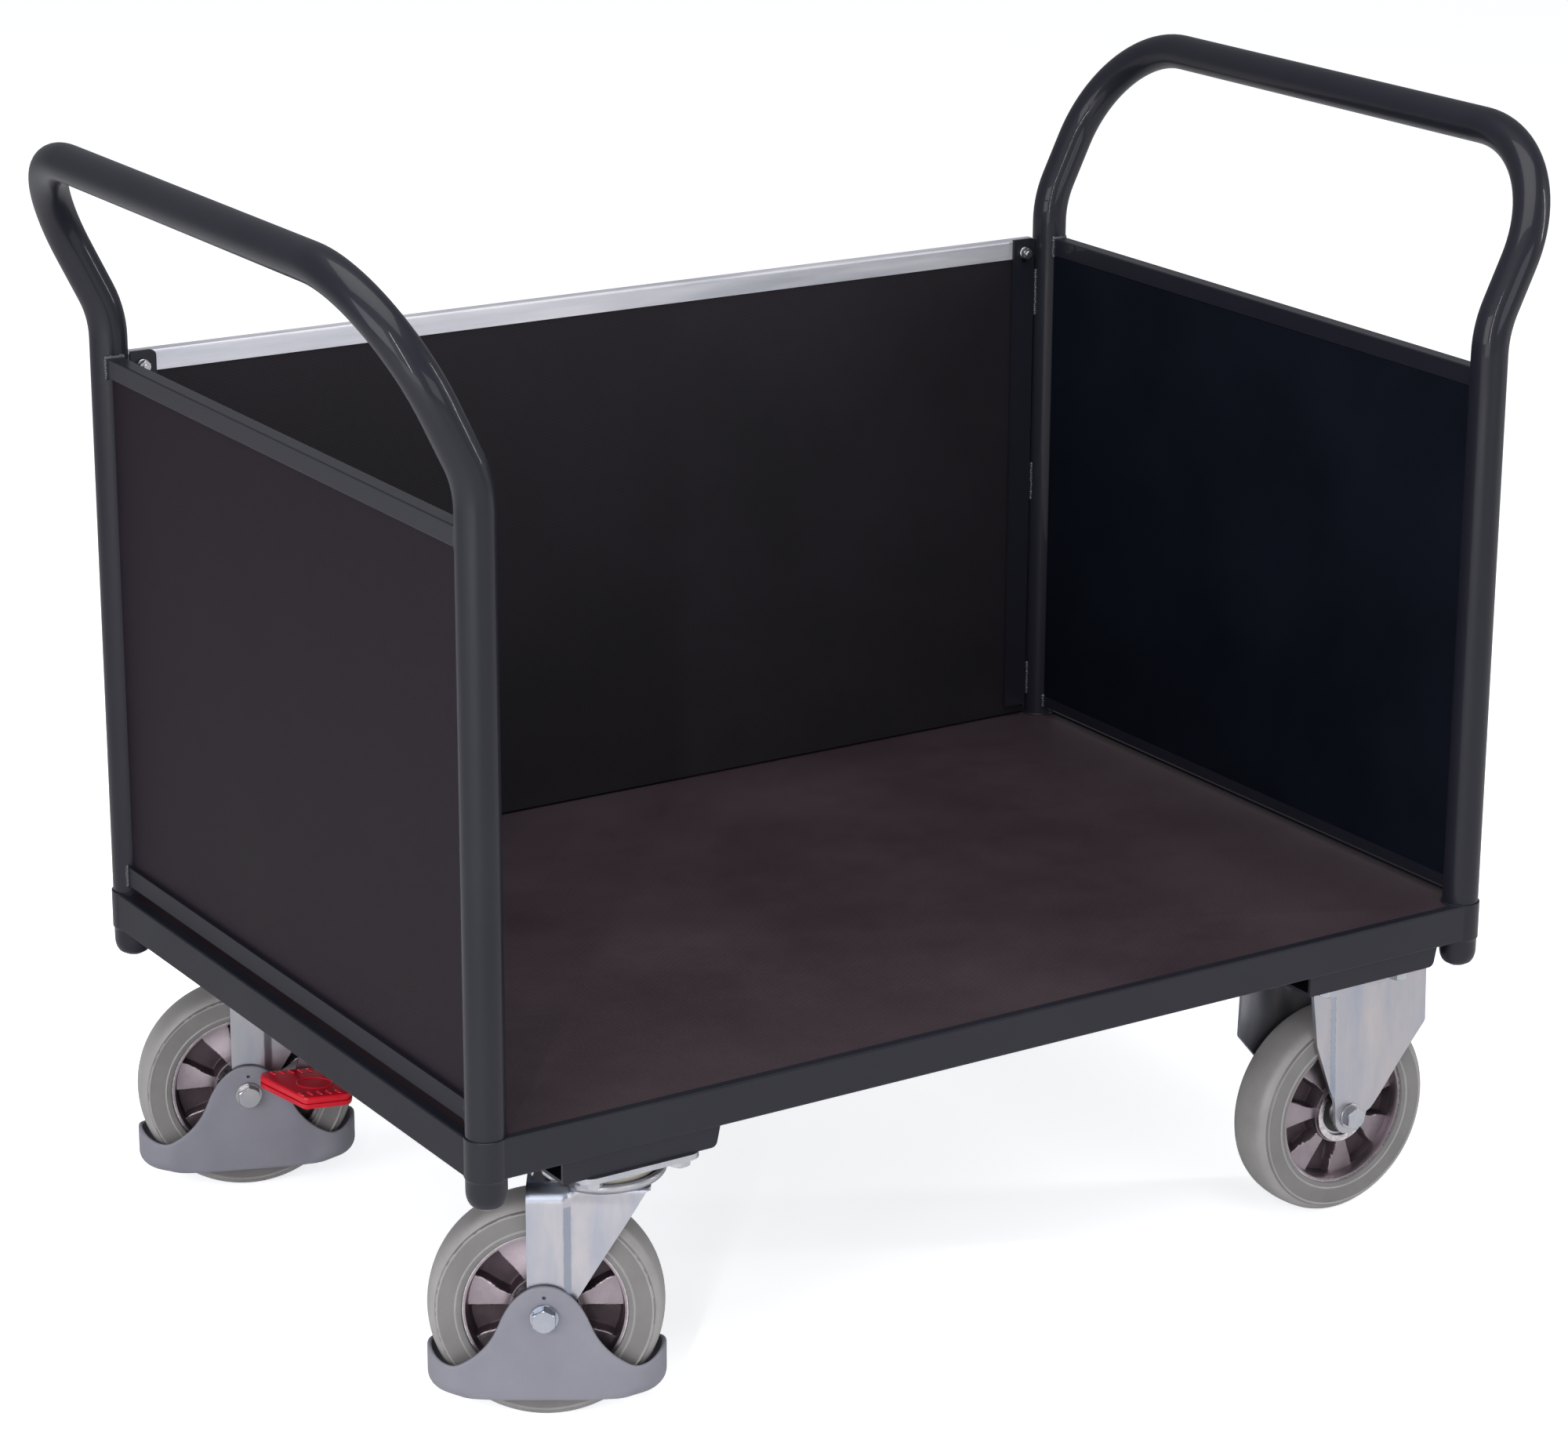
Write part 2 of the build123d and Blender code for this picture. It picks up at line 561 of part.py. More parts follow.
def build_brake(turned):
    """The pin turns in the fork; the lever, the shoe and the pad are fixed to it."""
    axle = turned * Pos(AXLE_X, 0, 0)
    pin = rod_y(BRAKE_PIN_R, -LEG_OUT - 6, LEG_OUT + 3, BRAKE_PIN_X, BRAKE_PIN_Z)
    pin += rod_y(6.0, -LEG_OUT - 6, -LEG_OUT - 3.7, BRAKE_PIN_X, BRAKE_PIN_Z)
    pin += rod_y(6.0, LEG_OUT + 0.5, LEG_OUT + 3, BRAKE_PIN_X, BRAKE_PIN_Z)
    lever = brake_lever()
    write(axle * (brake_pedal() - lever), "brake_pedal")
    write(axle * lever, "brake_lever")
    write(axle * brake_shoe(), "brake_shoe")
    write(axle * pin, "brake_pin")


# ---------------------------------------------------------------- fixed castors, about the axle

def fixed_leg(side):
    """One leg; the two legs are the same pressing turned half a turn."""
    outline = Polyline(
        (-48.5, 242), (-42, 178), (-20, 118), (-17, 92), (-9, 82), (9, 82), (17, 92),
        (26, 104), (88, 177), (86, 242), close=True,
    )
    face = make_face(outline)
    corners = [v for v in face.vertices() if v.Y < 200]
    face = fillet(corners, 4.0)
    leg = extrude(Plane.XZ.offset(LEG_OUT) * face, -LEG_T)
    return leg if side < 0 else Rot(0, 0, 180) * leg


def fixed_fork():
    crown_top = PLATE_TOP - PLATE_T
    shell = fork_envelope(-89, 89, 60, crown_top)
    crown = box(-86, 86, -LEG_OUT, LEG_OUT, crown_top - LEG_T, crown_top)
    near = fixed_leg(-1)
    far = fixed_leg(1)
    fork = (crown + near + far) & shell
    notch = box(48.5, 90, 0, 40, crown_top - 30, crown_top + 1)
    fork -= notch
    fork -= Rot(0, 0, 180) * notch
    flange = extrude(Pos(0, 0, crown_top) * RectangleRounded(PLATE_X, 104, 12), PLATE_T)
    fork += flange
    for x in (-PLATE_HOLE_X, PLATE_HOLE_X):
        for y in (-FIXED_HOLE_Y, FIXED_HOLE_Y):
            fork -= rod(BOLT_R + 0.1, crown_top - 1, PLATE_TOP + 1, x, y)
    return fork - rod_y(AXLE_R + 0.05, -60, 60, 0, WHEEL_R)


def build_fixed_castor(name, y):
    place = Pos(FIXED_X, y, 0)
    write(place * fixed_fork(), "fixed_fork_" + name)
    axle = Pos(FIXED_X, y, WHEEL_R)
    write([axle * piece for piece in axle_set(-LEG_OUT, LEG_OUT)], "axle_set_" + name)
    wheel_nodes(axle, name)


# ---------------------------------------------------------------- castor fixings

def build_plate_bolts():
    """Bolts through the cross members, with their heads inside and a nut below each castor plate."""
    z0 = PLATE_TOP - PLATE_T
    seat = CROSS_FOOT + CROSS_T
    bolts = []
    for x, y in plate_bolt_places(SWIVEL_X, PLATE_HOLE_Y) + plate_bolt_places(FIXED_X, FIXED_HOLE_Y):
        bolt = rod(BOLT_R, z0 - 10, seat + 1, x, y)
        bolt += hexagon_z(17, z0 - 8, z0, x, y)
        bolt += hexagon_z(17, seat, seat + 6, x, y)
        bolts.append(bolt)
    return bolts


build_platform()
build_ends()
build_back()
build_swivel_castor("front_left", -CASTOR_Y, FRONT_SWIVEL_DEG, swivel_fork())
brake_bore = rod_y(BRAKE_PIN_R + 0.05, -60, 60, AXLE_X + BRAKE_PIN_X, BRAKE_PIN_Z)
braked = build_swivel_castor("back_left", CASTOR_Y, BACK_SWIVEL_DEG, swivel_fork() - brake_bore)
build_brake(braked)
build_fixed_castor("front_right", -CASTOR_Y)
build_fixed_castor("back_right", CASTOR_Y)
write(build_plate_bolts(), "castor_plate_bolts")
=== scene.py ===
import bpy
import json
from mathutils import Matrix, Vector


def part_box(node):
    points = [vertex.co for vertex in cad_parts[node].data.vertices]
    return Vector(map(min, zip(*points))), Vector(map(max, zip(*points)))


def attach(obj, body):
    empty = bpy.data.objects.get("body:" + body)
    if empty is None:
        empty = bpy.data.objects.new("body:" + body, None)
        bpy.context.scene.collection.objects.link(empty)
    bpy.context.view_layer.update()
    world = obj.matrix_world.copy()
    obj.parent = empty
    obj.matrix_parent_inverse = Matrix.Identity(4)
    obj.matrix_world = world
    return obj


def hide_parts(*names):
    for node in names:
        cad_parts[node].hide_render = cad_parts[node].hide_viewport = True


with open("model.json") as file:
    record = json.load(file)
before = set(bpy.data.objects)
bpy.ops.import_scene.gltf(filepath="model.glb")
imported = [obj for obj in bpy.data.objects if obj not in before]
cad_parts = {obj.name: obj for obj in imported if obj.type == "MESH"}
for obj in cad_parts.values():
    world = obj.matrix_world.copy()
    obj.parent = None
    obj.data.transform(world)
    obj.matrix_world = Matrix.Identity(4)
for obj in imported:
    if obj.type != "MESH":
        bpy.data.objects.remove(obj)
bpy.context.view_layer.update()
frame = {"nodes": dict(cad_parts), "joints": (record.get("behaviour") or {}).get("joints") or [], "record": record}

import json
from math import ceil, cos, pi, radians, sin, sqrt, tan

import bmesh
import bpy
from mathutils import Matrix, Vector

scene = bpy.context.scene
MM = 0.001


# ---------------- where the trolley stands
# A plain pale floor under soft studio light: a wide overhead box, a box at the left and one in
# front, a low fill, and a narrow strip on each side that draws the long streaks down the tubes.

def put(tree, kind, values=None, **settings):
    """A new node with its settings and the values of its inputs."""
    node = tree.nodes.new(kind)
    for key, value in settings.items():
        setattr(node, key, value)
    for key, value in (values or {}).items():
        node.inputs[key].default_value = value
    return node


def join(tree, *wires):
    """Links given as node, output, node, input."""
    for source, output, target, entry in wires:
        tree.links.new(source.outputs[output], target.inputs[entry])


def floor():
    half = 14.0
    mesh = bpy.data.meshes.new("studio_floor")
    corners = [(-half, -half, 0), (half, -half, 0), (half, half, 0), (-half, half, 0)]
    mesh.from_pydata(corners, [], [(0, 1, 2, 3)])
    plane = bpy.data.objects.new("studio_floor", mesh)
    scene.collection.objects.link(plane)
    paper = bpy.data.materials.new("pale_floor")
    paper.use_nodes = True
    tree = paper.node_tree
    shader = tree.nodes["Principled BSDF"]
    shader.inputs["Base Color"].default_value = (0.80, 0.80, 0.805, 1)
    shader.inputs["Roughness"].default_value = 0.85
    shader.inputs["Emission Color"].default_value = (0.97, 0.98, 1.0, 1)
    ray = put(tree, "ShaderNodeLightPath")
    glow = put(tree, "ShaderNodeMapRange", {"To Min": 0.06, "To Max": 0.70})
    join(tree, (ray, "Is Camera Ray", glow, "Value"), (glow, "Result", shader, "Emission Strength"))
    mesh.materials.append(paper)


def softbox(name, place, aim, width, height, watts, tint=(1, 1, 1)):
    data = bpy.data.lights.new(name, "AREA")
    data.shape = "RECTANGLE"
    data.size = width
    data.size_y = height
    data.energy = watts
    data.color = tint
    lamp = bpy.data.objects.new(name, data)
    scene.collection.objects.link(lamp)
    away = Vector(place) - Vector(aim)
    lamp.matrix_world = Matrix.Translation(place) @ away.to_track_quat("Z", "Y").to_matrix().to_4x4()


def studio_camera():
    """Stands at the open corner, looking slightly down across the deck."""
    yaw, pitch, roll = radians(35.0), radians(17.691), radians(1.064)
    ahead = Vector((sin(yaw) * cos(pitch), cos(yaw) * cos(pitch), -sin(pitch)))
    level = Vector((cos(yaw), -sin(yaw), 0))
    upright = level.cross(ahead)
    across = level * cos(roll) + upright * sin(roll)
    up = upright * cos(roll) - level * sin(roll)
    data = bpy.data.cameras.new("studio_camera")
    data.sensor_width = 36.0
    data.lens = 101.63
    data.shift_x = -0.1207
    data.shift_y = -0.0193
    data.clip_end = 60.0
    camera = bpy.data.objects.new("studio_camera", data)
    scene.collection.objects.link(camera)
    turn = Matrix((across, up, -ahead)).transposed().to_4x4()
    camera.matrix_world = Matrix.Translation((-2.0805, -3.2477, 1.7264)) @ turn
    scene.camera = camera


floor()
studio_camera()
softbox("overhead_box", (-0.6, -0.6, 3.6), (0, 0, 0.4), 3.4, 2.8, 120)
softbox("left_box", (-3.8, -1.2, 1.5), (0, 0, 0.4), 2.2, 1.8, 68, (0.98, 0.97, 1.0))
softbox("front_box", (0.6, -4.4, 1.3), (0, 0, 0.4), 2.4, 1.4, 36, (0.96, 0.98, 1.0))
softbox("low_fill", (-2.5, -2.3, 0.40), (0.4, -0.3, 0.10), 1.8, 0.6, 12)
softbox("left_strip", (-2.4, -2.6, 1.6), (-0.3, 0, 0.6), 0.07, 2.0, 34)
softbox("right_strip", (3.4, -1.8, 1.7), (0.3, 0, 0.8), 0.07, 2.2, 44)
world = bpy.data.worlds.new("studio_air")
world.use_nodes = True
air = world.node_tree
backdrop = air.nodes["Background"]
backdrop.inputs["Color"].default_value = (0.95, 0.965, 1.0, 1)
seen = put(air, "ShaderNodeLightPath")
brightness = put(air, "ShaderNodeMapRange", {"To Min": 0.34, "To Max": 1.2})
join(air, (seen, "Is Camera Ray", brightness, "Value"), (brightness, "Result", backdrop, "Strength"))
scene.world = world
scene.view_settings.view_transform = "Standard"


# ---------------- bent end tubes
# Two 33.7 mm steel tubes, each bent into an inverted U that leans outwards above the wall.
# Cold-bent in one piece, welded to the rails, and powder-coated anthracite with the frame.

def sockets(group, way, kind, named):
    """Named sockets on a node group, each with its first value."""
    for name, value in named.items():
        socket = group.interface.new_socket(name, in_out=way, socket_type="NodeSocket" + kind)
        if value is not None:
            socket.default_value = value


def surface_group():
    """Shared surface detail: a broad mottle, a fine grain and thin scratches, each 0 to 1."""
    group = bpy.data.node_groups.new("surface_detail", "ShaderNodeTree")
    sockets(group, "INPUT", "Float", {"Mottle Scale": 9.0, "Grain Scale": 900.0, "Scratch Scale": 60.0})
    sockets(group, "INPUT", "Vector", {"Stretch": (1.0, 1.0, 1.0)})
    sockets(group, "OUTPUT", "Float", {"Mottle": None, "Grain": None, "Scratch": None})
    source, result = put(group, "NodeGroupInput"), put(group, "NodeGroupOutput")
    place = put(group, "ShaderNodeTexCoord")
    mottle = put(group, "ShaderNodeTexNoise", {"Detail": 5.0, "Roughness": 0.62})
    grain = put(group, "ShaderNodeTexNoise", {"Detail": 2.0})
    leaning = {"Rotation": (0.5, 0.3, 0.6), "Scale": (1.0, 14.0, 1.0)}
    lean = put(group, "ShaderNodeMapping", leaning)
    scratch = put(group, "ShaderNodeTexNoise", {"Detail": 3.0})
    thin = put(group, "ShaderNodeMapRange", {"From Min": 0.66, "From Max": 0.74})
    drawn = put(group, "ShaderNodeVectorMath", operation="MULTIPLY")
    for texture, name in ((mottle, "Mottle Scale"), (grain, "Grain Scale"), (scratch, "Scratch Scale")):
        join(group, (source, name, texture, "Scale"))
    join(group, (place, "Object", drawn, 0), (source, "Stretch", drawn, 1),
         (drawn, "Vector", mottle, "Vector"), (place, "Object", grain, "Vector"),
         (place, "Object", lean, "Vector"), (lean, "Vector", scratch, "Vector"),
         (scratch, "Fac", thin, "Value"), (mottle, "Fac", result, "Mottle"),
         (grain, "Fac", result, "Grain"), (thin, "Result", result, "Scratch"))
    return group


surface_detail = surface_group()


def finish(name, dark, light, rough, metallic=0.0, specular=0.5, bump=0.02, bump_mm=0.3, **detail):
    """A procedural finish: two colours through the mottle, roughness through the mottle and scratches, relief
    through the grain.
    """
    material = bpy.data.materials.new(name)
    material.use_nodes = True
    tree = material.node_tree
    shader = tree.nodes["Principled BSDF"]
    shader.inputs["Metallic"].default_value = metallic
    shader.inputs["Specular IOR Level"].default_value = specular
    surface = put(tree, "ShaderNodeGroup", node_tree=surface_detail, name="surface")
    for key, value in detail.items():
        surface.inputs[key.replace("_", " ").title()].default_value = value
    ramp = put(tree, "ShaderNodeValToRGB", name="colours")
    for element, position, colour in zip(ramp.color_ramp.elements, (0.34, 0.66), (dark, light)):
        element.position = position
        element.color = (*colour, 1)
    spread = {"From Min": 0.3, "From Max": 0.7, "To Min": rough[0], "To Max": rough[1]}
    dull = put(tree, "ShaderNodeMapRange", spread)
    scuff = put(tree, "ShaderNodeMath", {1: 0.06}, operation="MULTIPLY_ADD")
    relief = put(tree, "ShaderNodeBump", {"Strength": bump, "Distance": bump_mm * MM}, name="relief")
    join(tree, (surface, "Mottle", ramp, "Fac"), (ramp, "Color", shader, "Base Color"),
         (surface, "Mottle", dull, "Value"), (surface, "Scratch", scuff, 0), (dull, "Result", scuff, 2),
         (scuff, "Value", shader, "Roughness"), (surface, "Grain", relief, "Height"),
         (relief, "Normal", shader, "Normal"))
    return material


def coat(material, weight, roughness):
    shader = material.node_tree.nodes["Principled BSDF"]
    shader.inputs["Coat Weight"].default_value = weight
    shader.inputs["Coat Roughness"].default_value = roughness
    return material


anthracite = coat(finish(
    "anthracite_powder_coat", (0.0085, 0.0086, 0.0138), (0.0105, 0.0105, 0.0162), (0.38, 0.44),
    specular=0.14, bump=0.08, bump_mm=0.2, mottle_scale=6.0, grain_scale=420.0,
), 0.2, 0.045)


def shape(name, verts, faces, material, crease=35):
    """A closed, outward-facing mesh object at the origin, smooth but for edges above the crease angle."""
    mesh = bpy.data.meshes.new(name)
    mesh.from_pydata([tuple(v) for v in verts], [], faces)
    build = bmesh.new()
    build.from_mesh(mesh)
    bmesh.ops.remove_doubles(build, verts=build.verts, dist=1e-6)
    bmesh.ops.recalc_face_normals(build, faces=build.faces)
    build.to_mesh(mesh)
    build.free()
    mesh.shade_smooth()
    mesh.set_sharp_from_angle(angle=radians(crease))
    mesh.materials.append(material)
    piece = bpy.data.objects.new(name, mesh)
    scene.collection.objects.link(piece)
    return piece


def fit(piece, body, slot, *nodes):
    """The piece moves with a body and stands for CAD nodes. The slot argument is not used."""
    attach(piece, body)
    if nodes:
        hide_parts(*nodes)
    return piece


def bent_route(corners, bend_radii, step=radians(4)):
    """Straight runs joined by arcs."""
    route = [corners[0]]
    for before, corner, after, radius in zip(corners, corners[1:], corners[2:], bend_radii):
        back = (before - corner).normalized()
        on = (after - corner).normalized()
        half = back.angle(on) / 2
        centre = corner + (back + on).normalized() * (radius / sin(half))
        start = corner + back * (radius / tan(half)) - centre
        end = corner + on * (radius / tan(half)) - centre
        axis = start.cross(end).normalized()
        turn = pi - 2 * half
        count = max(2, ceil(turn / step))
        route += [centre + Matrix.Rotation(turn * i / count, 3, axis) @ start for i in range(count + 1)]
    return route + [corners[-1]]


def bands(rings, around, first=0, closed=False):
    """Quads between neighbouring rings of vertices, each ring closed on itself."""
    faces = []
    for ring in range(rings if closed else rings - 1):
        a, b = first + ring * around, first + (ring + 1) % rings * around
        for i in range(around):
            j = (i + 1) % around
            faces.append((a + i, a + j, b + j, b + i))
    return faces


def pipe(route, radius, sides=56):
    """Verts and faces of a closed round bar along a route."""
    runs = [(b - a).normalized() for a, b in zip(route, route[1:])]
    ways = [runs[0]] + [(a + b).normalized() for a, b in zip(runs, runs[1:])] + [runs[-1]]
    side = ways[0].orthogonal().normalized()
    verts = []
    for point, way in zip(route, ways):
        side = (side - way * side.dot(way)).normalized()
        other = way.cross(side)
        angles = [2 * pi * i / sides for i in range(sides)]
        verts += [point + (side * cos(a) + other * sin(a)) * radius for a in angles]
    ends = [tuple(range(sides)), tuple(range(len(verts) - sides, len(verts)))]
    return verts, bands(len(route), sides) + ends


TUBE_RADIUS = 16.85 * MM


def end_tube(side, sign):
    low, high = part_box("end_tube_" + side)
    radius = TUBE_RADIUS
    post_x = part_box("corner_socket_back_right")
    post_x = (post_x[0].x + post_x[1].x) / 2
    bar_x = max(abs(low.x), abs(high.x)) - radius
    half_y = high.y - radius
    kink_z = 842.5 * MM
    bar_z = high.z - radius
    corners = [
        Vector((sign * post_x, -half_y, low.z)), Vector((sign * post_x, -half_y, kink_z)),
        Vector((sign * bar_x, -half_y, bar_z)), Vector((sign * bar_x, half_y, bar_z)),
        Vector((sign * post_x, half_y, kink_z)), Vector((sign * post_x, half_y, low.z)),
    ]
    route = bent_route(corners, [96 * MM, 112 * MM, 112 * MM, 96 * MM])
    verts, faces = pipe(route, radius)
    fit(shape("end_tube_bent_" + side, verts, faces, anthracite), "cart", "frame_paint", "end_tube_" + side)


end_tube("left", -1)
end_tube("right", 1)


# ---------------- corner sockets and their fixings
# Round steel cups at the platform's corners that take the feet of the tubes. Turned with a rounded
# taper at the foot, welded to the edge rails, painted with them, and closed by a zinc-plated button.

def turned(profile, steps=72, place=Matrix.Identity(4), loop=False):
    """Verts and faces of a profile of (height, radius) pairs turned about Z, then placed."""
    verts, faces = [], []
    for i in range(steps):
        angle = 2 * pi * i / steps
        verts += [place @ Vector((r * cos(angle), r * sin(angle), h)) for h, r in profile]
    count = len(profile)
    spans = count if loop else count - 1
    for i in range(steps):
        a, b = i * count, ((i + 1) % steps) * count
        for k in range(spans):
            n = (k + 1) % count
            faces.append((a + k, a + n, b + n, b + k))
    return verts, faces


def rounded(profile, radius, parts=5):
    """Replaces the inner corners of an open profile by arcs."""
    points = [Vector((a, b, 0)) for a, b in profile]
    soft = [points[0]]
    for before, corner, after in zip(points, points[1:], points[2:]):
        back, on = before - corner, after - corner
        reach = min(radius, back.length * 0.45, on.length * 0.45)
        start = corner + back.normalized() * reach
        end = corner + on.normalized() * reach
        soft += [
            start * (1 - t) ** 2 + corner * 2 * t * (1 - t) + end * t ** 2
            for t in [i / parts for i in range(parts + 1)]
        ]
    soft.append(points[-1])
    return [(p.x, p.y) for p in soft]


bright_zinc = finish(
    "bright_zinc_plating", (0.31, 0.335, 0.39), (0.46, 0.445, 0.445), (0.22, 0.36), metallic=1.0,
    bump=0.12, bump_mm=0.2, mottle_scale=14.0, grain_scale=700.0, scratch_scale=90.0,
)


def middle(node):
    low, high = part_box(node)
    return (low + high) / 2


def corner_socket(corner):
    node = "corner_socket_" + corner
    low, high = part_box(node)
    axis = middle(node)
    radius = (high.x - low.x) / 2
    foot, nose, bore, hole = 10 * MM, 14 * MM, 16.9 * MM, 4 * MM
    slim = radius - 1.1 * MM
    profile = [(low.z, hole)]
    for angle in [radians(a) for a in range(0, 91, 10)]:
        profile.append((low.z + nose * (1 - cos(angle)), foot + (slim - foot) * sin(angle)))
    rail_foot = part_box("frame_rail_front")[0].z
    profile += [(rail_foot - 3 * MM, slim), (rail_foot - 1 * MM, slim + 0.3 * MM), (rail_foot, radius)]
    profile += [(high.z - 0.4 * MM, radius), (high.z, radius - 0.4 * MM), (high.z, bore),
                (high.z - 12 * MM, bore), (high.z - 12 * MM, hole)]
    place = Matrix.Translation((axis.x, axis.y, 0))
    verts, faces = turned(profile, 72, place, loop=True)
    fit(shape("socket_cup_" + corner, verts, faces, anthracite), "cart", "frame_paint", node)


CORNERS = ["front_left", "front_right", "back_left", "back_right"]
for corner in CORNERS:
    corner_socket(corner)


def socket_buttons():
    verts, faces = [], []
    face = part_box("socket_bolts")[0].z
    dome = [(face, 0), (face, 5 * MM), (face + 0.4 * MM, 7.2 * MM), (face + 1.3 * MM, 8.9 * MM),
            (face + 2.4 * MM, 9.5 * MM), (face + 4.0 * MM, 9.5 * MM), (face + 4.0 * MM, 0)]
    for corner in CORNERS:
        axis = middle("corner_socket_" + corner)
        more, quads = turned(dome, 40, Matrix.Translation((axis.x, axis.y, 0)))
        faces += [tuple(i + len(verts) for i in quad) for quad in quads]
        verts += more
    fit(shape("socket_buttons", verts, faces, bright_zinc), "cart", "zinc_fixings", "socket_bolts")


socket_buttons()


# ---------------- platform frame and end rails
# Folded steel edge rails with a raised lip, wide folded cross members, rectangular tube rails
# between the posts and flat brackets on the back posts, all welded and coated with the tubes.

def dress(material, *nodes):
    """Gives carried-over CAD nodes their finish."""
    for node in nodes:
        for slot in frame["nodes"][node].material_slots:
            slot.material = material


# A second copy of the same anthracite coat, a little darker and with weaker reflections: painted shade.
painted_shade_anthracite = coat(finish(
    "painted_shade_anthracite_powder_coat", (0.0082, 0.0083, 0.0132), (0.0100, 0.0100, 0.0155), (0.42, 0.50),
    specular=0.08, bump=0.08, bump_mm=0.2, mottle_scale=6.0, grain_scale=420.0,
), 0.06, 0.06)
SIDES = ["left", "right"]
dress(anthracite, *["frame_rail_" + end for end in ("front", "back")])
# The side edge rails here and the lower rails below take the darker copy as painted shade.
dress(painted_shade_anthracite, *["frame_rail_" + side for side in SIDES])
dress(anthracite, *["castor_cross_member_" + side for side in SIDES])
dress(anthracite, *["upper_rail_" + side for side in SIDES])
dress(painted_shade_anthracite, *["lower_rail_" + side for side in SIDES])
dress(anthracite, *["back_bracket_" + side for side in SIDES], "deck_bearers")


# ---------------- weld beads
# Short hand-laid beads where the rails and brackets meet the posts, coated over with the frame.
# Each is a chain of small overlapping drops along its joint.

def drop_tree():
    """Drops along an edge chain: Pitch apart, Width across, jittered by a fixed seed."""
    tree = bpy.data.node_groups.new("weld_drops", "GeometryNodeTree")
    sockets(tree, "INPUT", "Geometry", {"Geometry": None})
    sockets(tree, "INPUT", "Float", {"Pitch": 2.2 * MM, "Width": 5 * MM})
    sockets(tree, "INPUT", "Int", {"Seed": 7})
    sockets(tree, "INPUT", "Material", {"Coat": None})
    sockets(tree, "OUTPUT", "Geometry", {"Geometry": None})
    source, result = put(tree, "NodeGroupInput"), put(tree, "NodeGroupOutput")
    chain = put(tree, "GeometryNodeMeshToCurve")
    spaced = put(tree, "GeometryNodeResampleCurve", mode="LENGTH")
    drop = put(tree, "GeometryNodeMeshIcoSphere", {"Subdivisions": 3})
    half = put(tree, "ShaderNodeMath", {1: 0.5}, operation="MULTIPLY")
    sizes = {0: (0.82, 0.82, 0.82), 1: (1.12, 1.12, 1.12)}
    jitter = put(tree, "FunctionNodeRandomValue", sizes, data_type="FLOAT_VECTOR")
    spread = put(tree, "GeometryNodeInstanceOnPoints")
    real = put(tree, "GeometryNodeRealizeInstances")
    smooth = put(tree, "GeometryNodeSetShadeSmooth")
    paint = put(tree, "GeometryNodeSetMaterial")
    join(tree, (source, "Geometry", chain, "Mesh"), (chain, "Curve", spaced, "Curve"),
         (source, "Pitch", spaced, "Length"), (source, "Width", half, 0), (half, "Value", drop, "Radius"),
         (source, "Seed", jitter, "Seed"), (spaced, "Curve", spread, "Points"),
         (drop, "Mesh", spread, "Instance"), (jitter, 0, spread, "Scale"),
         (spread, "Instances", real, "Geometry"), (real, "Geometry", smooth, "Geometry"),
         (smooth, "Geometry", paint, "Geometry"), (source, "Coat", paint, "Material"),
         (paint, "Geometry", result, "Geometry"))
    return tree


def grown(name, seed_object, tree, values):
    """Runs a Geometry Nodes tree on an object and returns the result as a plain mesh object."""
    modifier = seed_object.modifiers.new("grow", "NODES")
    modifier.node_group = tree
    for item in tree.interface.items_tree:
        if item.in_out == "INPUT" and item.name in values:
            modifier[item.identifier] = values[item.name]
    ready = seed_object.evaluated_get(bpy.context.evaluated_depsgraph_get())
    mesh = bpy.data.meshes.new_from_object(ready)
    mesh.name = name
    bpy.data.objects.remove(seed_object)
    piece = bpy.data.objects.new(name, mesh)
    scene.collection.objects.link(piece)
    return piece


def chains(name, lines):
    """An object of edge chains."""
    verts, edges = [], []
    for line in lines:
        start = len(verts)
        verts += [tuple(point) for point in line]
        edges += [(i, i + 1) for i in range(start, len(verts) - 1)]
    mesh = bpy.data.meshes.new(name)
    mesh.from_pydata(verts, edges, [])
    piece = bpy.data.objects.new(name, mesh)
    scene.collection.objects.link(piece)
    return piece


def weld_lines():
    tube, socket = TUBE_RADIUS, 18.6 * MM
    lines = []
    post = middle("corner_socket_back_right")
    for sign_x in (-1, 1):
        side = "right" if sign_x > 0 else "left"
        for sign_y in (-1, 1):
            for rail, top_inset in (("upper_rail_", 0.0), ("lower_rail_", 7.5 * MM)):
                low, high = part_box(rail + side)
                outer = max(abs(low.x), abs(high.x)) - post.x
                inner = min(abs(low.x), abs(high.x)) - post.x

                def on_tube(offset, z):
                    reach = sqrt(tube ** 2 - offset ** 2)
                    return Vector((sign_x * (post.x + offset), sign_y * (post.y - reach), z))

                lines.append([on_tube(outer, low.z), on_tube(outer, high.z)])
                top = high.z - top_inset
                lines.append([on_tube(inner + (outer - inner) * i / 4, top) for i in range(5)])
                lines.append([on_tube(inner, low.z), on_tube(inner, top)])
        low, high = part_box("back_bracket_" + side)
        edge = max(abs(low.x), abs(high.x))
        tack_x, tack_y = sign_x * (edge + 0.6 * MM), low.y + 1.0 * MM
        for foot, head in ((322, 353), (532, 568), (727, 771)):
            lines.append([Vector((tack_x, tack_y, z * MM)) for z in (foot, head)])
        frame_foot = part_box("frame_rail_front")[0].z - 0.6 * MM
        for sign_y in (-1, 1):
            turns = [radians(a) for a in range(-30, 121, 15)]
            round_socket = [(post.x - socket * cos(a), post.y - socket * sin(a)) for a in turns]
            lines.append([Vector((sign_x * x, sign_y * y, frame_foot)) for x, y in round_socket])
    return lines
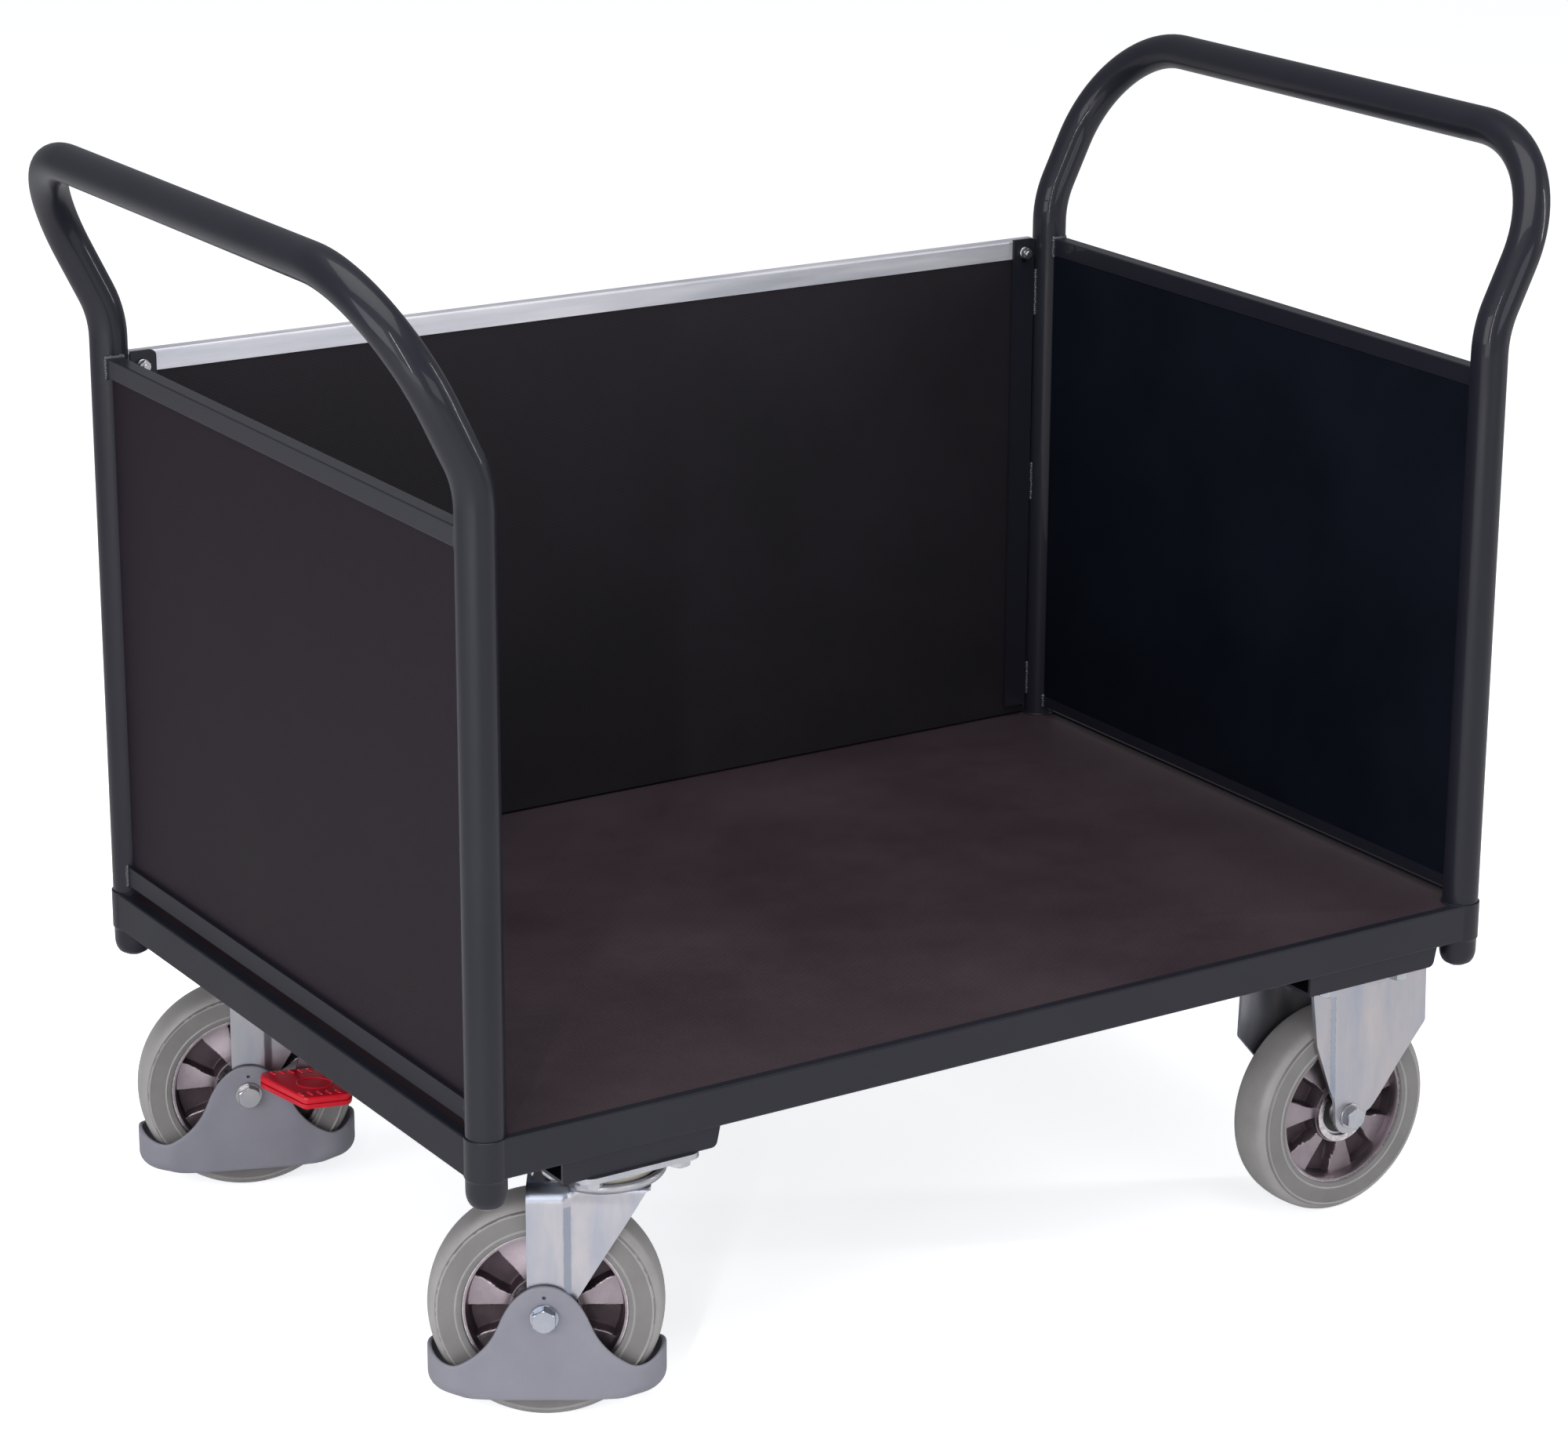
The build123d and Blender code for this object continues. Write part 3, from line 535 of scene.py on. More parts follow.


# The frame's anthracite coat over the beads, painted about twice as pale with a fine bright speckle: a painted
# glint on the bumpy beads.
weld_coat_painted_glint = coat(finish(
    "anthracite_over_weld_painted_glint", (0.016, 0.017, 0.024), (0.030, 0.031, 0.040), (0.24, 0.40),
    specular=0.4, bump=0.5, bump_mm=0.5, mottle_scale=180.0, grain_scale=420.0,
), 0.35, 0.10)
seams = chains("weld_lines", weld_lines())
beads = grown("weld_beads", seams, drop_tree(), {"Coat": weld_coat_painted_glint, "Width": 4.8 * MM})
fit(beads, "cart", "frame_paint")


# ---------------- deck and wall boards
# Birch plywood faced with a dark brown phenolic film, pressed with a fine twill wire print.
# The deck lies loose inside the lip; the wall boards stand in their rails.

def twill_group():
    """Wire print: diagonal ribs broken into short threads. Height runs 0 to 1."""
    group = bpy.data.node_groups.new("twill_print", "ShaderNodeTree")
    sockets(group, "INPUT", "Vector", {"Vector": None})
    sockets(group, "INPUT", "Float", {"Pitch": 2.6 * MM})
    sockets(group, "OUTPUT", "Float", {"Height": None})
    source, result = put(group, "NodeGroupInput"), put(group, "NodeGroupOutput")

    def calc(operation, first, second):
        node = put(group, "ShaderNodeMath", operation=operation)
        for index, value in enumerate((first, second)):
            if isinstance(value, (int, float)):
                node.inputs[index].default_value = value
            else:
                group.links.new(value, node.inputs[index])
        return node.outputs[0]

    split = put(group, "ShaderNodeSeparateXYZ")
    join(group, (source, "Vector", split, "Vector"))
    turn = calc("DIVIDE", 2 * pi, source.outputs["Pitch"])
    rib = calc("ADD", split.outputs["X"], calc("MULTIPLY", split.outputs["Y"], 0.72))
    rib_wave = calc("SINE", calc("MULTIPLY", rib, turn), 0)
    thread = calc("SUBTRACT", calc("MULTIPLY", split.outputs["X"], 0.8), split.outputs["Y"])
    thread_wave = calc("SINE", calc("MULTIPLY", calc("MULTIPLY", thread, turn), 1.9), 0)
    mixed = calc("ADD", calc("MULTIPLY", rib_wave, 0.36), calc("MULTIPLY", thread_wave, 0.14))
    group.links.new(calc("ADD", mixed, 0.5), result.inputs["Height"])
    return group


twill_print = twill_group()


def film_board(name, dark, light, rough, lean, rib_gain, bump, specular=0.22):
    """Film-faced board; lean turns the print into the board's own plane."""
    material = finish(name, dark, light, rough, specular=specular, bump=bump, bump_mm=0.5,
                      mottle_scale=5.0, grain_scale=1400.0)
    tree = material.node_tree
    shader, colours, surface, relief = (
        tree.nodes[name] for name in ("Principled BSDF", "colours", "surface", "relief")
    )
    place = put(tree, "ShaderNodeTexCoord")
    plane = put(tree, "ShaderNodeMapping", {"Rotation": lean})
    twill = put(tree, "ShaderNodeGroup", node_tree=twill_print)
    worn = put(tree, "ShaderNodeMix", {"Factor": 1.0}, data_type="RGBA", blend_type="MULTIPLY")
    gain = put(tree, "ShaderNodeMapRange", {"To Min": 1 - rib_gain, "To Max": 1 + rib_gain})
    height = put(tree, "ShaderNodeMath", {1: 0.35}, operation="MULTIPLY_ADD")
    join(tree, (place, "Object", plane, "Vector"), (plane, "Vector", twill, "Vector"),
         (twill, "Height", gain, "Value"), (colours, "Color", worn, "A"), (gain, "Result", worn, "B"),
         (worn, "Result", shader, "Base Color"), (surface, "Grain", height, 0),
         (twill, "Height", height, 2), (height, "Value", relief, "Height"))
    return material


FLAT, ON_END, ON_BACK = (0, 0, 0), (0, radians(-90), 0), (radians(-90), 0, 0)
deck_film = film_board(
    "brown_film_deck", (0.023, 0.0145, 0.019), (0.032, 0.0215, 0.026), (0.44, 0.58), FLAT, 0.8, 0.45,
)
left_film = film_board(
    "brown_film_left_wall", (0.0098, 0.0066, 0.0100), (0.0130, 0.0090, 0.0132), (0.50, 0.60), ON_END,
    0.8, 0.3, 0.07,
)
# The right wall carries the same brown film as the left; its much darker, bluer colour is painted shade on its
# inner face.
right_film_painted_shade = film_board(
    "film_right_wall_painted_shade", (0.0016, 0.0026, 0.0056), (0.0028, 0.0042, 0.0085), (0.55, 0.66), ON_END,
    0.75, 0.3, 0.08,
)
back_film = film_board(
    "brown_film_back_wall", (0.0085, 0.0075, 0.0100), (0.0120, 0.0100, 0.0135), (0.48, 0.60), ON_BACK,
    0.9, 0.4, 0.16,
)
dress(deck_film, "deck_panel")
dress(left_film, "end_panel_left")
dress(right_film_painted_shade, "end_panel_right")
dress(back_film, "back_panel")


# ---------------- galvanised edge channel
# A folded strip of bright galvanised sheet that caps the back wall's top edge, rolled along its
# length, held by the two bracket bolts.

galvanised = finish(
    "galvanised_strip", (0.50, 0.51, 0.56), (0.66, 0.65, 0.69), (0.40, 0.52), metallic=0.7,
    bump=0.1, bump_mm=0.15, mottle_scale=60.0, grain_scale=500.0, scratch_scale=40.0,
    stretch=(0.08, 1.0, 1.0),
)
dress(galvanised, "back_panel_channel")


# ---------------- bracket bolts
# Two M6 hexagon screws with washers and nuts through bracket, channel and board, zinc-plated.

def hex_head(across, height, hollow=0.0):
    """Profile of a chamfered hexagon, as verts and faces from Z = 0 up to its height."""
    around = 72
    flat = across / 2
    levels = [0.0, 0.0, 0.10, 0.5, 0.80, 0.90, 0.96, 1.0, 1.0]
    verts = []
    for index, level in enumerate(levels):
        z = level * height
        cone = flat * 1.00 + (height - z) * 1.9
        base_cone = flat * 1.06 + z * 3.0
        for i in range(around):
            angle = 2 * pi * i / around
            side = (angle + pi / 6) % (pi / 3) - pi / 6
            radius = min(flat / cos(side), cone, base_cone)
            if index == 0 or index == len(levels) - 1:
                radius = hollow
            verts.append(Vector((radius * cos(angle), radius * sin(angle), z)))
    return verts, bands(len(levels), around)


class Parts:
    """Gathers several turned or formed bits into one mesh."""

    def __init__(self):
        self.verts = []
        self.faces = []

    def both(self):
        return self.verts, self.faces

    def add(self, bit, place=Matrix.Identity(4)):
        verts, faces = bit
        self.faces += [tuple(i + len(self.verts) for i in face) for face in faces]
        self.verts += [place @ Vector(v) for v in verts]
        return self


def bar(radius, start, end, chamfer=0.4 * MM):
    """A round bar along Z with small chamfers."""
    profile = [(start, 0), (start, radius - chamfer), (start + chamfer, radius),
               (end - chamfer, radius), (end, radius - chamfer), (end, 0)]
    return turned(profile, 40)


def washer(outer, bore, start, end):
    soft = 0.3 * MM
    profile = [(start, bore), (start, outer - soft), (start + soft, outer), (end - soft, outer),
               (end, outer - soft), (end, bore)]
    return turned(profile, 56, loop=True)


TOWARDS_FRONT = Matrix.Rotation(radians(90), 4, "X")


def bracket_screws():
    low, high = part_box("bracket_bolts")
    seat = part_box("back_bracket_right")[0].y
    z = (low.z + high.z) / 2
    reach = high.x - 6 * MM
    parts = Parts()
    for x in (-reach, reach):
        front = Matrix.Translation((x, seat, z)) @ TOWARDS_FRONT
        parts.add(washer(6.2 * MM, 3 * MM, 0, 1.2 * MM), front)
        parts.add(hex_head(10 * MM, 5 * MM), front @ Matrix.Translation((0, 0, 1.2 * MM)))
        parts.add(bar(3 * MM, 5 * MM, 8 * MM), front)
        parts.add(bar(6 * MM, seat - high.y, seat - high.y + 2.6 * MM, 1 * MM), front)
    piece = shape("bracket_screws", *parts.both(), bright_zinc, 25)
    fit(piece, "cart", "zinc_fixings", "bracket_bolts")


bracket_screws()


# ---------------- castor plates and their bolts
# Pressed top plates with a raceway, held to the cross members by four bolts each; the swivelling
# ones carry a cream ring that keeps dirt out of the ball race. All bright zinc-plated.

cream_ring = finish(
    "cream_dust_ring", (0.47, 0.45, 0.385), (0.58, 0.56, 0.485), (0.45, 0.55), bump=0.05,
    mottle_scale=20.0, grain_scale=600.0,
)
SWIVELS = ["front_left", "back_left"]
PLATE_THICK = 5 * MM
for castor in SWIVELS:
    dress(bright_zinc, "swivel_plate_" + castor, "kingpin_" + castor)


def dust_ring(castor):
    low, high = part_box("swivel_seal_" + castor)
    axis = middle("swivel_seal_" + castor)
    outer = (high.x - low.x) / 2
    inner = 33 * MM
    profile = [(low.z, inner), (low.z, outer - 1 * MM), (low.z + 1.5 * MM, outer), (low.z + 5 * MM, outer),
               (low.z + 6.5 * MM, outer - 3 * MM), (high.z, outer - 4 * MM), (high.z, inner)]
    verts, faces = turned(profile, 72, Matrix.Translation((axis.x, axis.y, 0)), loop=True)
    fit(shape("dust_ring_" + castor, verts, faces, cream_ring), "cart", "seal_ring", "swivel_seal_" + castor)


for castor in SWIVELS:
    dust_ring(castor)


def plate_bolt_tree():
    """One bolt at each point; the bolt is a named object input."""
    tree = bpy.data.node_groups.new("plate_bolts_on_points", "GeometryNodeTree")
    sockets(tree, "INPUT", "Geometry", {"Geometry": None})
    sockets(tree, "INPUT", "Object", {"Bolt": None})
    sockets(tree, "INPUT", "Int", {"Seed": 3})
    sockets(tree, "INPUT", "Material", {"Plating": None})
    sockets(tree, "OUTPUT", "Geometry", {"Geometry": None})
    source, result = put(tree, "NodeGroupInput"), put(tree, "NodeGroupOutput")
    bolt = put(tree, "GeometryNodeObjectInfo")
    spread = put(tree, "GeometryNodeInstanceOnPoints")
    turns = {0: (0, 0, 0), 1: (0, 0, pi / 3)}
    twist = put(tree, "FunctionNodeRandomValue", turns, data_type="FLOAT_VECTOR")
    real = put(tree, "GeometryNodeRealizeInstances")
    paint = put(tree, "GeometryNodeSetMaterial")
    join(tree, (source, "Bolt", bolt, "Object"), (source, "Geometry", spread, "Points"),
         (bolt, "Geometry", spread, "Instance"), (source, "Seed", twist, "Seed"),
         (twist, 0, spread, "Rotation"), (spread, "Instances", real, "Geometry"),
         (real, "Geometry", paint, "Geometry"), (source, "Plating", paint, "Material"),
         (paint, "Geometry", result, "Geometry"))
    return tree


def plate_bolts():
    """Bolt heads inside the cross member, nuts and shank ends below the plates."""
    low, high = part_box("castor_plate_bolts")
    plate_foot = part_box("swivel_plate_front_left")[1].z - PLATE_THICK
    head_foot = high.z - 6 * MM
    parts = Parts()
    upside_down = Matrix.Rotation(pi, 4, "X")
    parts.add(hex_head(17 * MM, 8 * MM, 4 * MM), Matrix.Translation((0, 0, plate_foot)) @ upside_down)
    parts.add(hex_head(17 * MM, 6 * MM), Matrix.Translation((0, 0, head_foot)))
    parts.add(bar(5 * MM, low.z, head_foot + 1 * MM, 0.8 * MM))
    pattern = shape("plate_bolt_pattern", *parts.both(), bright_zinc, 25)
    swivel_x = middle("swivel_plate_front_left").x
    fixed_x = middle("fixed_fork_front_right").x
    half_y = abs(middle("swivel_plate_front_left").y)
    points = [
        (x + dx * MM, y + dy * MM, 0)
        for x, reach in ((swivel_x, 52.5), (fixed_x, 42.0)) for y in (-half_y, half_y)
        for dx in (-42, 42) for dy in (-reach, reach)
    ]
    mesh = bpy.data.meshes.new("plate_bolt_points")
    mesh.from_pydata(points, [], [])
    seeds = bpy.data.objects.new("plate_bolt_points", mesh)
    scene.collection.objects.link(seeds)
    values = {"Bolt": pattern, "Plating": bright_zinc}
    bolts = grown("plate_bolts", seeds, plate_bolt_tree(), values)
    bpy.data.objects.remove(pattern)
    fit(bolts, "cart", "zinc_fixings", "castor_plate_bolts")


plate_bolts()


# ---------------- castor forks
# Pressed from 4 mm steel and bright zinc-plated: legs with a stiffening step and rolled shoulders.
# A swivelling fork carries a rolled dish for the ball race; a fixed one is welded to its own plate.

PRESSED = {
    "metallic": 1.0, "bump": 0.18, "bump_mm": 0.25, "mottle_scale": 42.0, "grain_scale": 620.0,
    "scratch_scale": 70.0, "stretch": (1.0, 1.0, 0.22),
}
fork_zinc = finish(
    "pressed_fork_zinc", (0.325, 0.340, 0.390), (0.430, 0.405, 0.418), (0.31, 0.43), **PRESSED,
)
# A darker, bluer copy of the fork zinc: painted shade and dark reflection laid on the crease sides and the
# shoulders.
crease_shade_zinc = finish(
    "fork_zinc_painted_crease_shade", (0.225, 0.25, 0.31), (0.285, 0.30, 0.345), (0.30, 0.42), **PRESSED,
)
joints = {joint["name"]: joint for joint in frame["joints"]}


def axle_place(castor):
    """Frame at a wheel's centre: X along the wheel, Y along its axle, Z up."""
    joint = joints["wheel_" + castor + "_spin"]
    across = Vector(joint["axis"]).normalized()
    along = across.cross(Vector((0, 0, 1)))
    turn = Matrix((along, across, Vector((0, 0, 1)))).transposed().to_4x4()
    return Matrix.Translation(joint["pos_m"]) @ turn


def ease(value, start, end):
    """0 before start, 1 after end, smooth between."""
    t = min(1.0, max(0.0, (value - start) / (end - start)))
    return t * t * (3 - 2 * t)


def along_line(points, z):
    """X on a bent line of (x, z) points, from the lowest up."""
    for (x0, z0), (x1, z1) in zip(points, points[1:]):
        if z <= z1:
            return x0 + (x1 - x0) * max(0.0, (z - z0) / (z1 - z0))
    return points[-1][0]


def over_shoulder(fold, reach, t):
    """Height below the crown, inward run and tilt along a leg that goes straight up, then folds over."""
    straight = reach - fold
    run = t * (straight + fold * pi / 2)
    if run <= straight:
        return run - reach, 0.0, 0.0
    angle = (run - straight) / fold
    return fold * sin(angle) - fold, fold * (1 - cos(angle)), angle


WHEEL_RADIUS, LEG_FACE, LEG_SHEET = 100.0, 33.0, 4.0


def pressed_leg(left, right, foot_radius, crown, fold, press):
    """One leg as a grid from its round foot up and over the shoulder; all from the axle, in mm.

    fold gives the shoulder radius and press the depth of the stiffening steps at each place.
    """
    columns, rows, shoulder, reach = 150, 64, 12, 16
    straight = crown - reach
    grid = []
    for index in range(rows + 1):
        z = -foot_radius + (straight + foot_radius) * index / rows
        lo, hi = along_line(left, z), along_line(right, z)
        if z < 0:
            half = sqrt(max(0.0, foot_radius ** 2 - z ** 2))
            lo, hi = max(lo, -half), min(hi, half)
        grid.append([(lo + (hi - lo) * c / columns, z, 0.0, 0.0) for c in range(columns + 1)])
    for index in range(1, shoulder + 1):
        t = index / shoulder
        lo, hi = along_line(left, straight + reach * t), along_line(right, straight + reach * t)
        row = []
        for c in range(columns + 1):
            x = lo + (hi - lo) * c / columns
            drop, inward, tilt = over_shoulder(fold(x), reach, t)
            row.append((x, crown + drop, inward, tilt))
        grid.append(row)
    grid.append([(x, crown, LEG_FACE, radians(90)) for x, _, _, _ in grid[-1]])
    verts, faces = [], []
    for layer in (0, 1):
        for row in grid:
            for x, z, inward, tilt in row:
                depth = inward + press(x, z) * (1 - ease(z, straight, crown - 3))
                y = -LEG_FACE + depth + layer * LEG_SHEET * cos(tilt)
                verts.append(Vector((x * MM, y * MM, (z - layer * LEG_SHEET * sin(tilt)) * MM)))
    wide, tall = columns + 1, len(grid)
    sheet = wide * tall
    for r in range(tall - 1):
        for c in range(columns):
            a = r * wide + c
            faces.append((a, a + 1, a + wide + 1, a + wide))
            faces.append((sheet + a, sheet + a + wide, sheet + a + wide + 1, sheet + a + 1))
    rim = [(0, c) for c in range(wide)] + [(r, columns) for r in range(1, tall)]
    rim += [(tall - 1, c) for c in range(columns - 1, -1, -1)] + [(r, 0) for r in range(tall - 2, 0, -1)]
    loop = [r * wide + c for r, c in rim]
    for a, b in zip(loop, loop[1:] + loop[:1]):
        faces.append((a, a + sheet, b + sheet, b))
    return verts, faces


def paint_crease_shade(piece, place, top):
    """Gives the sides of the pressed steps and the rolled shoulders a darker, bluer zinc: painted shade and a
    painted dark reflection.
    """
    piece.data.materials.append(crease_shade_zinc)
    inverse = place.inverted()
    turn = inverse.to_3x3()
    for face in piece.data.polygons:
        centre, facing = inverse @ face.center, turn @ face.normal
        on_leg = abs(centre.y) > 28.5 * MM and centre.z < (top - 17) * MM
        on_shoulder = 16 * MM < abs(centre.y) and (top - 16) * MM < centre.z < top * MM
        # Faces across the steps and faces turned up on the shoulders take the painted shade.
        if on_leg and abs(facing.y) > 0.4 and abs(facing.x) > 0.2:
            face.material_index = 1
        elif on_shoulder and facing.z > 0.2 and abs(facing.y) > 0.2:
            face.material_index = 1


HALF_TURN = Matrix.Rotation(pi, 4, "Z")
MIRROR_Y = Matrix.Scale(-1, 4, (0, 1, 0))


def swivel_fork(castor):
    """Upright front edge, slanted back edge, one long step, and the dish over the swivel axis."""
    node = "swivel_fork_" + castor
    dish_rise = 11 * MM
    top = (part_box(node)[1].z - dish_rise) / MM - WHEEL_RADIUS
    left = [(-14.5, -40), (-14.5, 130)]
    right = [(18, -40), (18, -2), (80.5, 103), (89, 116), (89, 130)]

    def fold(x):
        return 4.5 + 10.0 * (1 - ease(x, 20, 30))

    def press(x, z):
        return 2.8 * ease(x, 15.5, 23.5) - 1.6 * ease(x, 38, 62) * ease(z, 40, 90)

    leg = pressed_leg(left, right, 18, top, fold, press)
    place = axle_place(castor)
    parts = Parts()
    parts.add(leg, place)
    parts.add(leg, place @ MIRROR_Y)
    trail = (Vector(joints["swivel_" + castor + "_turn"]["pos_m"]) - Vector(place.translation)).to_2d().length
    dish = [(-3, 0), (-3, 34), (-1, 44), (3, 51), (6, 53), (9, 52.6), (11, 50.5), (10.4, 48.6),
            (7.5, 47.5), (7, 30), (10, 28), (10, 0)]
    dish = [((top + h) * MM, r * MM) for h, r in rounded(dish, 1.5, 3)]
    dish_verts, dish_faces = turned(dish, 96, Matrix.Translation((trail, 0, 0)))
    for point in dish_verts:
        widest = (17.0 + 36.5 * ease(point.x / MM, 13, 34)) * MM
        point.y = max(-widest, min(widest, point.y))
    parts.add((dish_verts, dish_faces), place)
    piece = shape("pressed_fork_" + castor, *parts.both(), fork_zinc, 40)
    paint_crease_shade(piece, place, top)
    fit(piece, "swivel_" + castor, "zinc_pressing", node)


for castor in SWIVELS:
    swivel_fork(castor)


def fixed_fork(castor):
    """Both legs are the same pressing, one turned half a turn, under a rectangular plate."""
    node = "fixed_fork_" + castor
    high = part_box(node)[1]
    top = (high.z - PLATE_THICK) / MM - WHEEL_RADIUS
    left = [(-18, -40), (-17.5, -4), (-19.5, 18), (-41, 77), (-47.5, 125), (-48.5, 145)]
    right = [(18, -40), (18, -2), (26.5, 5), (87.6, 77), (86, 125), (86, 145)]

    def fold(x):
        return 4.5 + 11.0 * (1 - ease(x, -34, -22)) + 11.0 * ease(x, 34, 56)

    def press(x, z):
        lean = x + 0.04 * z
        band = 3.2 * (1 - ease(lean, -22.5, -18.5)) * ease(z, 8, 30)
        ridge = 1.2 * ease(x, 14, 25) * (1 - ease(x, 25, 36)) * ease(z, 10, 40)
        return band - ridge + 1.6 * ease(x, 30, 66)

    leg = pressed_leg(left, right, 18, top, fold, press)
    place = axle_place(castor)
    parts = Parts()
    parts.add(leg, place)
    parts.add(leg, place @ HALF_TURN)
    half_x, half_y, corner = 57.5 * MM, 52 * MM, 12 * MM
    outline = []
    for index, (sx, sy) in enumerate(((1, 1), (-1, 1), (-1, -1), (1, -1))):
        mid_x, mid_y = sx * (half_x - corner), sy * (half_y - corner)
        for step in range(7):
            angle = radians(90) * (index + step / 6)
            outline.append((mid_x + corner * cos(angle), mid_y + corner * sin(angle)))
    count = len(outline)
    verts = [Vector((x, y, z)) for z in (high.z - PLATE_THICK, high.z) for x, y in outline]
    faces = [(i, (i + 1) % count, count + (i + 1) % count, count + i) for i in range(count)]
    faces += [tuple(range(count)), tuple(range(count, 2 * count))]
    axle = place.translation
    parts.add((verts, faces), Matrix.Translation((axle.x, axle.y, 0)))
    piece = shape("pressed_fork_" + castor, *parts.both(), fork_zinc, 40)
    paint_crease_shade(piece, place, top)
    fit(piece, "cart", "zinc_pressing", node)


FIXED = ["front_right", "back_right"]
for castor in FIXED:
    fixed_fork(castor)


# ---------------- axle bolts
# An M12 hexagon bolt through each fork with a plain washer under its head and nut, turning in a
# steel sleeve. Zinc-plated and bright.

def axle_set(castor, seat, body):
    parts = Parts()
    place = axle_place(castor) @ TOWARDS_FRONT
    back = place @ Matrix.Rotation(pi, 4, "X")
    for side in (place, back):
        parts.add(washer(12.2 * MM, 5.9 * MM, seat, seat + 1.9 * MM), side)
    parts.add(hex_head(19 * MM, 7.5 * MM), place @ Matrix.Translation((0, 0, seat + 1.9 * MM)))
    parts.add(hex_head(19 * MM, 10 * MM, 5.9 * MM), back @ Matrix.Translation((0, 0, seat + 1.9 * MM)))
    parts.add(bar(6 * MM, -seat - 13 * MM, seat + 2 * MM, 1 * MM), place)
    parts.add(bar(10 * MM, -28 * MM, 28 * MM), place)
    piece = shape("axle_bolt_" + castor, *parts.both(), bright_zinc, 25)
    fit(piece, body, "zinc_fixings", "axle_set_" + castor)


GUARD_FACE = 37.2
for castor in SWIVELS:
    axle_set(castor, GUARD_FACE * MM, "swivel_" + castor)
for castor in FIXED:
    axle_set(castor, LEG_FACE * MM, "cart")


# ---------------- wheels
# A 200 mm wheel: a die-cast spoked rim with machined lips, a moulded grey rubber tyre with two
# raised rings on each side, painted paler on the tread and ring crests as painted light, and a ball bearing in
# each end of the hub.

grey_rubber = finish(
    "grey_tyre_rubber", (0.120, 0.1155, 0.114), (0.146, 0.141, 0.138), (0.38, 0.50), bump=0.16, bump_mm=0.35,
    mottle_scale=24.0, grain_scale=750.0, scratch_scale=120.0,
)
# A paler copy of the same rubber: painted light on the tread and a painted highlight on the crests of the raised
# rings.
painted_light_rubber = finish(
    "tyre_rubber_painted_light", (0.205, 0.198, 0.194), (0.248, 0.239, 0.235), (0.40, 0.52), bump=0.2, bump_mm=0.35,
    mottle_scale=24.0, grain_scale=750.0, scratch_scale=120.0,
)
# Die-cast metal; its purple-brown tint is a painted reflection.
cast_metal = finish(
    "die_cast_rim", (0.225, 0.188, 0.210), (0.305, 0.262, 0.285), (0.34, 0.46), metallic=1.0, bump=0.30,
    bump_mm=0.3, mottle_scale=30.0, grain_scale=520.0,
)
# A dark copy of the casting: painted shade down in the pockets between the spokes.
pocket_shade_casting = finish(
    "cast_rim_painted_pocket_shade", (0.045, 0.030, 0.038), (0.085, 0.062, 0.074), (0.50, 0.62), metallic=0.6, bump=0.35,
    bump_mm=0.3, mottle_scale=36.0, grain_scale=520.0,
)
machined_metal = finish(
    "machined_rim_lip", (0.36, 0.325, 0.345), (0.66, 0.62, 0.64), (0.20, 0.32), metallic=1.0, bump=0.10,
    bump_mm=0.15, mottle_scale=240.0, grain_scale=800.0,
)
seal_rubber = finish(
    "bearing_seal", (0.012, 0.011, 0.011), (0.022, 0.020, 0.020), (0.5, 0.6), bump=0.1, mottle_scale=60.0,
)
WHEEL_TURN = {"front_left": 270.0, "back_left": 168.0, "front_right": 174.0, "back_right": 150.0}
SPOKES = 7


def tyre(castor):
    half = [(22.6, 69.7), (23.6, 70.3), (24.3, 72.0), (24.4, 73.9), (25.1, 74.7), (25.1, 75.3), (24.4, 76.2),
            (24.3, 80), (24.4, 89.4), (25.0, 90.1), (25.0, 91.2), (24.2, 92.0), (22.8, 92.5), (21.9, 93.7),
            (20.6, 95.5), (17.9, 97.6), (14.5, 98.8), (9, 99.6), (4, 99.95)]
    profile = [(-y, r) for y, r in half] + [(0.0, 100.0)] + [(y, r) for y, r in reversed(half)]
    profile += [(18.0, 69.5), (-18.0, 69.5)]
    profile = [(y * MM, r * MM) for y, r in profile]
    place = axle_place(castor)
    verts, faces = turned(profile, 144, place @ TOWARDS_FRONT, loop=True)
    piece = shape("tyre_rubber_" + castor, verts, faces, grey_rubber, 32)
    piece.data.materials.append(painted_light_rubber)
    inverse = place.inverted()
    # The tread and the ring crests take the paler copy: painted light and a painted highlight.
    for face in piece.data.polygons:
        centre = inverse @ face.center
        reach = sqrt(centre.x ** 2 + centre.z ** 2)
        if reach > 93 * MM or abs(centre.y) > 24.6 * MM:
            face.material_index = 1
    fit(piece, "wheel_" + castor, "tread_rubber", "tyre_" + castor)


def spoke_height(radius):
    return 16.0 - 4.0 * ease(radius, 32, 62)


def rim_height(radius, angle):
    """Half-thickness of the casting at a place on its face, in mm."""
    lip = 21.5 * ease(radius, 62.5, 67.0)
    hub = 19.0 * (1 - ease(radius, 30.5, 33.5)) + 3.0 * (1 - ease(radius, 29.2, 29.8))
    pitch = 2 * pi / SPOKES
    off = abs((angle + pitch / 2) % pitch - pitch / 2) * radius
    half_width = 5.0 + 8.5 * ease(radius, 30, 64)
    spoke = 3.0 + (spoke_height(radius) - 3.0) * (1 - ease(off, half_width, half_width + 2.4))
    return max(lip, hub, spoke)


